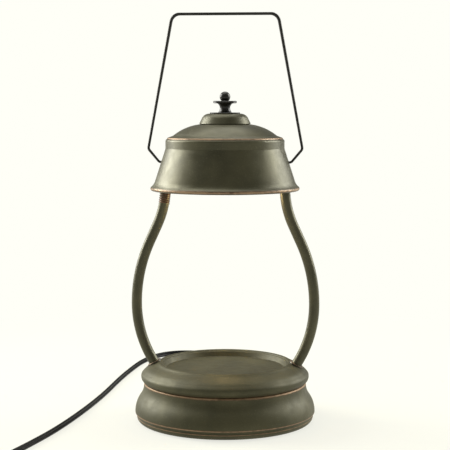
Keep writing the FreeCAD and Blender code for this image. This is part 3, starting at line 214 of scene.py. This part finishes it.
def coil_route():
    """Two turns side by side, from the outer lane to the inner, and two more back out on top of them."""
    outer, inner = COIL_LANES
    points = []
    for step in range(int(COIL_TURNS * COIL_STEPS) + 1):
        turns = step / COIL_STEPS
        radius = outer + (inner - outer) * (glide(turns, *COIL_IN) - glide(turns, *COIL_OUT))
        angle = 2 * math.pi * turns - math.pi / 2
        points.append((COIL_MIDDLE[0] + radius * math.cos(angle), COIL_MIDDLE[1] + radius * math.sin(angle),
                       LAID_Z + COIL_RISE * glide(turns, *COIL_UP)))
    return points


def twin_section():
    """Two round cores side by side, joined by a narrow web."""
    radius = CORD_THICKNESS / 2
    offset = CORD_WIDTH / 2 - radius
    return [(side * (offset + radius * math.cos(angle)), side * radius * math.sin(angle))
            for side in (1, -1) for angle in map(math.radians, CORE_ANGLES)]


def edge_turn(gone):
    """How far the lead has rolled over onto its edge, after this much of its length in mm."""
    return EDGE_TURN * (glide(gone, *EDGE_RISE) - glide(gone, *EDGE_FALL))


def swept(name, points, section, material):
    """A mesh tube of one section along a line, level at both ends and on its edge between them."""
    rings = []
    gone = 0.0
    for before, point, along in zip(points[:1] + points[:-1], points, directions(points)):
        gone += (point - before).length
        turn = edge_turn(gone / MM)
        across = along.cross(UP).normalized()
        lift = across.cross(along)
        width = across * math.cos(turn) + lift * math.sin(turn)
        depth = lift * math.cos(turn) - across * math.sin(turn)
        middle = point + lift * ((CORD_WIDTH - CORD_THICKNESS) / 2 * abs(math.sin(turn)))
        rings.append([middle + width * a + depth * b for a, b in section])
    vertices, faces = [], []
    add_skin(vertices, faces, rings)
    return mesh_piece(name, vertices, faces, material)


def make_cord(material):
    """The flat twin lead from the sleeve through the switch and the coil to the plug."""
    line = smooth_line(CORD_ROUTE_START + coil_route() + CORD_ROUTE_END)
    cord = swept("twin_cord", line, twin_section(), material)
    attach(cord, "lamp")
    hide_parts(*CORD_NODES)


# ---------------------------------------------------------------- pan and collars

SHEET_THICKNESS = 1.0 * MM
PAN_STEPS = 192
# the outline starts just beside the axis
PAN_MIDDLE = 0.01
PAN_ROUTE = [
    # radius and height: flat platform, wall, crest, falling slope, shoulder and tucked edge
    (PAN_MIDDLE, 48.0), (51.5, 48.0), (54.6, 48.0), (56.6, 51.3), (58.0, 54.2), (60.6, 54.3), (63.2, 52.3),
    (67.4, 50.6), (71.4, 48.8), (74.2, 46.4), (76.0, 43.6), (75.9, 39.6), (74.9, 37.3), (73.9, 36.4),
    (73.2, 36.0)]

# where each arm's axis meets the slope
COLLAR_X, COLLAR_Z = 64.95 * MM, 51.45 * MM
COLLAR_TILT = math.radians(28)
COLLAR_RADIUS = 6.5 * MM
COLLAR_BORE = 4.75 * MM
COLLAR_LOW, COLLAR_HIGH = -0.6 * MM, 1.8 * MM
COLLAR_EDGE = 0.6 * MM
COLLAR_EDGE_ANGLES = range(0, 91, 15)
COLLAR_STEPS = 64


def sheet_outline(line, thickness):
    """A line and, back along it, a copy moved by the sheet's thickness, as one closed outline.

    The copy lies under the line where that is flatter than 45 degrees, and on the side that shows where it is
    steeper.
    """
    moved = [(point.x - along.z * thickness, point.z - along.x * thickness)
             for point, along in zip(line, directions(line))]
    return [(point.x, point.z) for point in line] + moved[::-1]


def make_pan(material):
    """The pan, with the crest and the falling slope that the arms stand on."""
    line = smooth_line([(radius, 0, height) for radius, height in PAN_ROUTE])
    pan = spun("pan", [sheet_outline(line, SHEET_THICKNESS)], PAN_STEPS, material)
    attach(pan, "lamp")
    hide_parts("base_top")


def make_collars(material):
    """A thin round-edged collar where each arm meets the pan's slope."""
    edge = [(COLLAR_RADIUS - COLLAR_EDGE * (1 - math.cos(angle)),
             COLLAR_HIGH - COLLAR_EDGE * (1 - math.sin(angle)))
            for angle in map(math.radians, COLLAR_EDGE_ANGLES)]
    outline = [(COLLAR_BORE, COLLAR_LOW), (COLLAR_RADIUS, COLLAR_LOW)] + edge + [(COLLAR_BORE, COLLAR_HIGH)]
    for side, name in ((1, "foot_collar_right"), (-1, "foot_collar_left")):
        collar = spun(name, [outline], COLLAR_STEPS, material)
        put(collar, (side * COLLAR_X, 0, COLLAR_Z), (0, side * COLLAR_TILT, 0))
        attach(collar, "lamp")
        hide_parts("arm_foot_collars")


# ---------------------------------------------------------------- bail and thread

# radius added, and the heights between which it grows; at its limits the swung leg passes close to the rim
WIRE_SWELLS = [(0.08, 239, 241), (0.27, 258, 286)]
WELD_DISTANCE = 0.001 * MM

# on the left arm's axis, which leans there
THREAD_START = (-55.84 * MM, 0, 199.5 * MM)
THREAD_LEAN = math.radians(7.8)
THREAD_ROOT, THREAD_PEAK = 4.6 * MM, 5.2 * MM
THREAD_PITCH = 1.8 * MM
# half of the ridge's foot, as a share of the pitch
THREAD_FLANK = 0.48
THREAD_TURNS, THREAD_STEPS = 5, 40


def wire_swell(height):
    """The radius that the bail's wire gains at this height in mm."""
    return sum(extra * glide(height, low, high) for extra, low, high in WIRE_SWELLS)


def make_bail(material):
    """The bail, its wire as thick as it looks but at the ends and the knees, which have to clear the rim."""
    mesh = frame["nodes"]["bail_handle"].data.copy()
    work = bmesh.new()
    work.from_mesh(mesh)
    bmesh.ops.remove_doubles(work, verts=work.verts, dist=WELD_DISTANCE)
    work.normal_update()
    top = max(vertex.co.z for vertex in work.verts)
    for vertex in work.verts:
        vertex.co += vertex.normal * MM * wire_swell(vertex.co.z / MM)
        vertex.co.z = min(vertex.co.z, top)
    work.to_mesh(mesh)
    work.free()
    mesh.materials.clear()
    mesh.materials.append(material)
    wire = linked("bail_wire", mesh)
    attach(wire, "bail")
    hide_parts("bail_handle")


def make_thread(material):
    """The end of the left arm's thread, showing below the shade: one ridge wound up the tube."""
    ridge = [(THREAD_ROOT, -THREAD_FLANK), (THREAD_PEAK, 0), (THREAD_ROOT, THREAD_FLANK)]
    rings = []
    for step in range(THREAD_TURNS * THREAD_STEPS + 1):
        turns = step / THREAD_STEPS
        angle = 2 * math.pi * turns
        rings.append([(radius * math.cos(angle), radius * math.sin(angle), (turns + above) * THREAD_PITCH)
                      for radius, above in ridge])
    vertices, faces = [], []
    add_skin(vertices, faces, rings)
    thread = mesh_piece("arm_thread", vertices, faces, material)
    put(thread, THREAD_START, (0, THREAD_LEAN, 0))
    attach(thread, "lamp")


# ---------------------------------------------------------------- small detail

RELIEF_RINGS = 5
RELIEF_FIRST, RELIEF_STEP = 85.5 * MM, 3.2 * MM
# the sleeve's radius at the first ring and what it loses per length; the share of a bead that is sunk in it
RELIEF_RADIUS, RELIEF_TAPER = 4.74 * MM, 0.0515
RELIEF_BEAD, RELIEF_SUNK = 0.75 * MM, 0.3
RELIEF_ANGLES = range(0, 360, 30)
RELIEF_STEPS = 40

PLUG_WIDTH, PLUG_HEIGHT, PLUG_CHAMFER = 25 * MM, 11 * MM, 1.2 * MM
GRIP_RIBS = 4
GRIP_FIRST, GRIP_STEP = -45.6 * MM, 2.6 * MM
GRIP_WIDTH, GRIP_PROUD = 1.2 * MM, 0.45 * MM

SCREW_CIRCLE = 45.0 * MM
SCREW_ANGLES = (30, 150, 270)
RECESS_REACH, RECESS_HALF_WIDTH = 1.7 * MM, 0.35 * MM
RECESS_DEPTH, RECESS_PROUD = 0.2 * MM, 0.02 * MM


def make_relief_rings(material):
    """The moulded rings of the sleeve that the cord comes out of, spun upright and laid along the sleeve."""
    outlines = []
    for number in range(RELIEF_RINGS):
        along = number * RELIEF_STEP
        middle = RELIEF_RADIUS - RELIEF_TAPER * along - RELIEF_BEAD * RELIEF_SUNK
        outlines.append([(middle + RELIEF_BEAD * math.cos(angle),
                          RELIEF_FIRST + along + RELIEF_BEAD * math.sin(angle))
                         for angle in map(math.radians, RELIEF_ANGLES)])
    rings = spun("relief_rings", outlines, RELIEF_STEPS, material)
    put(rings, (0, 0, SLEEVE_Z * MM), (-math.pi / 2, 0, 0))
    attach(rings, "lamp")


def make_grips(material):
    """Ribs across the plug's top and both of its sides."""
    near, far = [PLUG_Y * MM + side * (PLUG_WIDTH / 2 + GRIP_PROUD) for side in (-1, 1)]
    low = PLUG_Z * MM - PLUG_HEIGHT / 2
    high = PLUG_Z * MM + PLUG_HEIGHT / 2 + GRIP_PROUD
    outline = [(near, low), (near, high - PLUG_CHAMFER), (near + PLUG_CHAMFER, high),
               (far - PLUG_CHAMFER, high), (far, high - PLUG_CHAMFER), (far, low)]
    vertices, faces = [], []
    for number in range(GRIP_RIBS):
        middle = GRIP_FIRST + number * GRIP_STEP
        add_skin(vertices, faces, [[(middle + side * GRIP_WIDTH / 2, y, z) for y, z in outline]
                                   for side in (-1, 1)])
    grips = mesh_piece("plug_grips", vertices, faces, material, flat=True)
    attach(grips, "lamp")


def make_recesses(material):
    """A flat dark cross on the head of each screw under the base: painted shade in place of its cross recess.
    """
    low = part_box("base_screws")[0][2] - RECESS_PROUD
    corners = []
    for angle in map(math.radians, range(0, 360, 90)):
        for along, aside in ((RECESS_HALF_WIDTH, -RECESS_HALF_WIDTH), (RECESS_REACH, -RECESS_HALF_WIDTH),
                             (RECESS_REACH, RECESS_HALF_WIDTH)):
            corners.append((along * math.cos(angle) - aside * math.sin(angle),
                            along * math.sin(angle) + aside * math.cos(angle)))
    vertices, faces = [], []
    for angle in map(math.radians, SCREW_ANGLES):
        x, y = SCREW_CIRCLE * math.cos(angle), SCREW_CIRCLE * math.sin(angle)
        add_skin(vertices, faces, [[(x + a, y + b, height) for a, b in corners]
                                   for height in (low, low + RECESS_DEPTH)])
    recesses = mesh_piece("screw_recesses", vertices, faces, material, flat=True)
    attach(recesses, "lamp")


# ---------------------------------------------------------------- materials

class Shader:
    """A Principled material and short ways to add nodes to it."""

    def __init__(self, name, **settings):
        self.material = bpy.data.materials.new(name)
        self.material.use_nodes = True
        self.tree = self.material.node_tree
        self.surface = self.tree.nodes["Principled BSDF"]
        self.set(self.surface, settings)
        self.place = self.add("ShaderNodeTexCoord").outputs["Object"]

    def add(self, kind, settings=None, **values):
        """A new node of that kind, its settings and what its inputs get."""
        node = self.tree.nodes.new(kind)
        for name, value in (settings or {}).items():
            setattr(node, name, value)
        self.set(node, values)
        return node

    def set(self, node, values):
        """Links or values for a node's inputs, by name or as _number. A colour may leave out its alpha."""
        for name, value in values.items():
            spot = node.inputs[int(name[1:]) if name[0] == "_" else name.replace("_", " ")]
            if isinstance(value, bpy.types.NodeSocket):
                self.tree.links.new(value, spot)
            else:
                spot.default_value = (*value, 1) if spot.type == "RGBA" and len(value) == 3 else value

    def math(self, operation, *values):
        links = {"_%d" % number: value for number, value in enumerate(values)}
        return self.add("ShaderNodeMath", {"operation": operation}, **links).outputs[0]

    def diagonal(self, first, second):
        """The length of the diagonal between two sides."""
        squares = [self.math("MULTIPLY", side, side) for side in (first, second)]
        return self.math("SQRT", self.math("ADD", *squares))

    def noise(self, scale, detail=3.0, roughness=0.6):
        node = self.add("ShaderNodeTexNoise", Vector=self.place, Scale=scale, Detail=detail,
                        Roughness=roughness)
        return node.outputs["Fac"]

    def wander(self, scale, detail, middle, reach):
        """A noise less its middle, times a reach."""
        return self.math("MULTIPLY", self.math("SUBTRACT", self.noise(scale, detail), middle), reach)

    def mix(self, share, first, second):
        """The first colour, turning into the second as share goes from 0 to 1."""
        node = self.add("ShaderNodeMix", {"data_type": "RGBA"}, _0=share, _6=first, _7=second)
        return node.outputs[2]

    def step(self, value, low, high, start=0.0, end=1.0):
        """start below low, end above high and a smooth step between them."""
        node = self.add("ShaderNodeMapRange", {"interpolation_type": "SMOOTHSTEP"}, Value=value,
                        From_Min=low, From_Max=high, To_Min=start, To_Max=end)
        return node.outputs[0]

    def bump(self, height, distance):
        node = self.add("ShaderNodeBump", Strength=1.0, Distance=distance, Height=height)
        self.set(self.surface, {"Normal": node.outputs[0]})


def linear(red, green, blue):
    """A colour given in sRGB steps of 255, as linear light."""
    def level(step):
        share = step / 255
        return share / 12.92 if share <= 0.04045 else ((share + 0.055) / 1.055) ** 2.4
    return (level(red), level(green), level(blue))


# bounds in a noise between which one patch turns into the next
PATCH_EDGES = (0.35, 0.65)
SOFT_EDGES = (0.3, 0.7)
# how much finer the patches of shine and the grain are than the patches of colour
SHINE_FINER, GRAIN_FINER = 3, 20
GRAIN_HEIGHT = 0.03 * MM

PLAIN_LOOKS = {
    # darker and lighter colour in steps of 255, scale of the patches, range of roughness, other settings
    "plate_steel": ((44, 42, 38), (62, 58, 52), 90, (0.45, 0.6), {"Metallic": 0.6}),
    "zinc_steel": ((150, 150, 146), (190, 190, 184), 160, (0.28, 0.42), {"Metallic": 1.0}),
    "contact_brass": ((190, 160, 96), (214, 186, 120), 120, (0.25, 0.38), {"Metallic": 1.0}),
    "black_gloss": ((24, 23, 18), (38, 36, 28), 150, (0.3, 0.4),
                    {"Metallic": 0.3, "Specular_IOR_Level": 0.35, "Coat_Weight": 0.15,
                     "Coat_Roughness": 0.15}),
    "ceramic": ((226, 220, 206), (240, 236, 226), 80, (0.3, 0.45), {}),
    "foot_rubber": ((22, 22, 22), (34, 33, 32), 140, (0.7, 0.85), {}),
    "lead_sleeve": ((206, 202, 190), (224, 220, 210), 150, (0.5, 0.65), {}),
    "cord_black": ((7, 7, 6), (13, 13, 11), 120, (0.4, 0.5), {"Specular_IOR_Level": 0.16}),
    "switch_black": ((20, 20, 20), (30, 30, 30), 300, (0.48, 0.58), {}),
    "moulded_black": ((16, 16, 16), (25, 25, 24), 200, (0.4, 0.52), {}),
    # painted shade for the screws' cross recesses
    "painted_recess_shade": ((12, 12, 11), (22, 21, 20), 400, (0.6, 0.8), {})}


def plain_material(name, dark, light, scale, roughness, settings):
    """A surface of two near colours in soft patches, with a fine grain."""
    shader = Shader(name, **settings)
    patches = shader.step(shader.noise(scale), *PATCH_EDGES)
    shine = shader.step(shader.noise(scale * SHINE_FINER), *SOFT_EDGES, *roughness)
    shader.set(shader.surface, {"Base_Color": shader.mix(patches, linear(*dark), linear(*light)),
                                "Roughness": shine})
    shader.bump(shader.noise(scale * GRAIN_FINER), GRAIN_HEIGHT)
    return shader.material


WORN_RINGS = [
    # radius, height and half width of the edges where the dark finish is rubbed through
    (67.3, 213.4, 0.8), (52.3, 259.2, 0.85), (74.1, 35.3, 0.75), (82.4, 8.6, 0.45), (81.0, 4.9, 0.22)]
WORN_COLLAR = [(6.0, 1.6, 0.35)]
WORN_BROWN, WORN_TAN = linear(90, 68, 48), linear(146, 120, 90)
# how far from a ring's middle, in its half widths, each colour starts to fade and ends
BROWN_REACH, TAN_REACH = (1.0, 2.4), (0.5, 1.3)
# farther than any ring's colours reach
FAR_OFF = 9.0
# noises added to that distance: one breaks the rings' edges up, the other fades whole stretches of them
BROKEN = {"scale": 260, "detail": 4, "middle": 0.5, "reach": 1.8}
FADED = {"scale": 38, "detail": 2, "middle": 0.45, "reach": 2.0}

BRONZE = {"Metallic": 0.5, "Specular_IOR_Level": 0.8, "Specular_Tint": (1, 0.99, 0.93)}
BRONZE_CLOUDS = ((57, 55, 33), (74, 71, 47))
BRONZE_SPECKS = linear(98, 96, 72)
SPECK_EDGES = (0.55, 0.75)
# scale, detail and, where it isn't the usual one, roughness
CLOUD_NOISE, SPECK_NOISE = (34, 3, 0.5), (900, 2, 0.5)
SHINE_NOISE, GRAIN_NOISE = (120, 4), (1400, 3)
BRONZE_GRAIN = 0.012 * MM

BRONZE_LOOKS = {
    "bronze": {"rings": WORN_RINGS},
    "bronze_base": {"rings": WORN_RINGS, "roughness": (0.5, 0.6), "Metallic": 0.4,
                    "Specular_IOR_Level": 0.55},
    "bronze_wire": {"clouds": ((14, 13, 9), (22, 20, 14)), "specks": 0.0},
    # the collar's clouds are darker than the bronze: painted shade along its side and under its edge
    "bronze_collar_painted_shade": {"clouds": ((34, 32, 22), (48, 46, 32)), "rings": WORN_COLLAR},
    # the thread's red-brown clouds are painted glow, the red light falling on the arm's top
    "bronze_thread_painted_glow": {"clouds": ((62, 40, 27), (104, 66, 44))}}


def worn(shader, finish, rings):
    """The finish rubbed through to a red-brown round each ring and to a tan in its middle."""
    x, y, z = shader.add("ShaderNodeSeparateXYZ", Vector=shader.place).outputs
    radius = shader.diagonal(x, y)
    nearest = FAR_OFF
    for ring_radius, height, width in rings:
        gap = shader.diagonal(shader.math("SUBTRACT", radius, ring_radius * MM),
                              shader.math("SUBTRACT", z, height * MM))
        nearest = shader.math("MINIMUM", nearest, shader.math("DIVIDE", gap, width * MM))
    uneven = shader.math("ADD", shader.wander(**BROKEN), shader.wander(**FADED))
    nearest = shader.math("ADD", nearest, uneven)
    finish = shader.mix(shader.step(nearest, *BROWN_REACH, 1.0, 0.0), finish, WORN_BROWN)
    return shader.mix(shader.step(nearest, *TAN_REACH, 1.0, 0.0), finish, WORN_TAN)


def bronze_material(name, clouds=BRONZE_CLOUDS, rings=(), specks=0.35, roughness=(0.36, 0.46), **settings):
    """Oil-rubbed bronze: two dark olive browns in soft clouds, with fine paler specks and worn edges."""
    shader = Shader(name, **{**BRONZE, **settings})
    patches = shader.step(shader.noise(*CLOUD_NOISE), *SOFT_EDGES)
    light = shader.step(shader.noise(*SPECK_NOISE), *SPECK_EDGES, 0.0, specks)
    finish = shader.mix(patches, linear(*clouds[0]), linear(*clouds[1]))
    finish = shader.mix(light, finish, BRONZE_SPECKS)
    if rings:
        finish = worn(shader, finish, rings)
    shine = shader.step(shader.noise(*SHINE_NOISE), *SOFT_EDGES, *roughness)
    shader.set(shader.surface, {"Base_Color": finish, "Roughness": shine})
    shader.bump(shader.noise(*GRAIN_NOISE), BRONZE_GRAIN)
    return shader.material


GLASS_LOOKS = {
    # lowest and highest strength of the light from within, other settings
    "bulb_glass": ((0.3, 0.42), {"Metallic": 0.6}),
    "bulb_front": ((0.35, 0.5), {"Transmission_Weight": 0.5}),
    "bulb_core": ((5.0, 6.0), {})}
GLASS = {"Roughness": 0.25, "IOR": 1.5, "Emission_Color": (1.0, 0.78, 0.48)}
FROST_COLOURS = (0.95, 0.9, 0.8), (1.0, 0.97, 0.9)
FROST_EDGES = (0.2, 0.8)
FROST_SCALE, FROST_GRAIN_SCALE = 60, 400
FROST_GRAIN = 0.04 * MM


def glass_material(name, strengths, settings):
    """Glass lit from within, brighter and dimmer in soft patches."""
    shader = Shader(name, **GLASS, **settings)
    frost = shader.noise(FROST_SCALE)
    shader.set(shader.surface, {"Base_Color": shader.mix(frost, *FROST_COLOURS),
                                "Emission_Strength": shader.step(frost, *FROST_EDGES, *strengths)})
    shader.bump(shader.noise(FROST_GRAIN_SCALE), FROST_GRAIN)
    return shader.material


def make_materials():
    """Every material of the lamp, by its name."""
    materials = {name: bronze_material(name, **look) for name, look in BRONZE_LOOKS.items()}
    materials.update((name, plain_material(name, *look)) for name, look in PLAIN_LOOKS.items())
    materials.update((name, glass_material(name, *look)) for name, look in GLASS_LOOKS.items())
    return materials


OWN_LOOKS = {"base_skirt": "bronze_base", "bulb_cover": "bulb_front", "bulb_capsule": "bulb_core",
             "strain_relief": "moulded_black", "plug_body": "moulded_black"}


def dress_nodes(materials):
    """Gives every piece of the frame its slot's material, or its own look within that slot."""
    for part in frame["record"]["subparts"]:
        node = frame["nodes"][part["node"]]
        node.data.materials.clear()
        node.data.materials.append(materials[OWN_LOOKS.get(part["node"], part["material_slot"])])


# ---------------------------------------------------------------- surroundings, in metres

BACKGROUND = (1.0, 1.0, 0.93)
FLOOR_HALF = 8.0
FLOOR_COLOURS = (0.6, 0.59, 0.48), (0.64, 0.63, 0.52)
FLOOR_SCALE = 3
# distances between which the floor turns into the background, and how much of that it is before the first
FLOOR_FADE = (0.2, 0.62)
FLOOR_GLOW = 0.74

WORLD_COLOUR = (1, 1, 0.97)
WORLD_STRENGTH = 0.28

LIGHT_AIM = Vector((0, 0, 0.18))
LIGHT_COLOUR = (1, 1, 0.96)
AREA_LIGHTS = [
    # name, place, width and height, power in watts
    ("left_light", (-1.2, 0.4, 0.72), (0.9, 1.0), 33),
    ("right_light", (1.2, 0.6, 0.72), (0.9, 1.0), 22),
    ("top_light", (-0.2, 0.3, 1.6), (1.6, 1.3), 19)]
BULB_PLACE = (0, 0, 0.207)
BULB_COLOUR = (1.0, 0.74, 0.42)
BULB_POWER = 0.25
BULB_RADIUS = 0.02


def make_floor():
    """A pale floor that fades into the background away from the lamp."""
    mesh = bpy.data.meshes.new("floor")
    half = FLOOR_HALF
    corners = [(-half, -half, 0), (half, -half, 0), (half, half, 0), (-half, half, 0)]
    mesh.from_pydata(corners, [], [(0, 1, 2, 3)])
    shader = Shader("floor", Roughness=0.9, Specular_IOR_Level=0.1)
    shader.set(shader.surface, {"Base_Color": shader.mix(shader.noise(FLOOR_SCALE), *FLOOR_COLOURS)})
    far = shader.add("ShaderNodeVectorMath", {"operation": "LENGTH"}, _0=shader.place).outputs["Value"]
    glow = shader.add("ShaderNodeEmission", Color=BACKGROUND)
    mix = shader.add("ShaderNodeMixShader", _0=shader.step(far, *FLOOR_FADE, FLOOR_GLOW, 1.0),
                     _1=shader.surface.outputs[0], _2=glow.outputs[0])
    shader.tree.links.new(mix.outputs[0], shader.tree.nodes["Material Output"].inputs[0])
    mesh.materials.append(shader.material)
    floor = linked("floor", mesh)


def make_world():
    """Soft light from all round, and a plain pale background."""
    world = bpy.data.worlds.new("World")
    world.use_nodes = True
    bpy.context.scene.world = world
    tree = world.node_tree
    light = tree.nodes["Background"]
    light.inputs["Color"].default_value = (*WORLD_COLOUR, 1)
    light.inputs["Strength"].default_value = WORLD_STRENGTH
    seen = tree.nodes.new("ShaderNodeBackground")
    seen.inputs["Color"].default_value = (*BACKGROUND, 1)
    ray = tree.nodes.new("ShaderNodeLightPath")
    mix = tree.nodes.new("ShaderNodeMixShader")
    tree.links.new(ray.outputs["Is Camera Ray"], mix.inputs[0])
    tree.links.new(light.outputs[0], mix.inputs[1])
    tree.links.new(seen.outputs[0], mix.inputs[2])
    tree.links.new(mix.outputs[0], tree.nodes["World Output"].inputs[0])


def make_light(name, kind, place, power, colour):
    """A light of that kind, of power watts."""
    data = bpy.data.lights.new(name, kind)
    data.energy = power
    data.color = colour
    light = linked(name, data)
    light.location = place
    return light


def make_lights():
    """Three large soft lights round the lamp, and the bulb's own."""
    for name, place, size, power in AREA_LIGHTS:
        light = make_light(name, "AREA", place, power, LIGHT_COLOUR)
        light.data.shape = "RECTANGLE"
        light.data.size, light.data.size_y = size
        light.rotation_euler = (LIGHT_AIM - Vector(place)).to_track_quat("-Z", "Y").to_euler()
    bulb = make_light("bulb_light", "POINT", BULB_PLACE, BULB_POWER, BULB_COLOUR)
    bulb.data.shadow_soft_size = BULB_RADIUS


# ---------------------------------------------------------------- the whole scene

bpy.context.scene.view_settings.view_transform = "Standard"

make_camera()
materials = make_materials()
make_relief_rings(materials["moulded_black"])
make_grips(materials["moulded_black"])
make_cord(materials["cord_black"])
make_pan(materials["bronze_base"])
make_collars(materials["bronze_collar_painted_shade"])
make_recesses(materials["painted_recess_shade"])
make_thread(materials["bronze_thread_painted_glow"])
make_bail(materials["bronze_wire"])
dress_nodes(materials)
make_floor()
make_world()
make_lights()
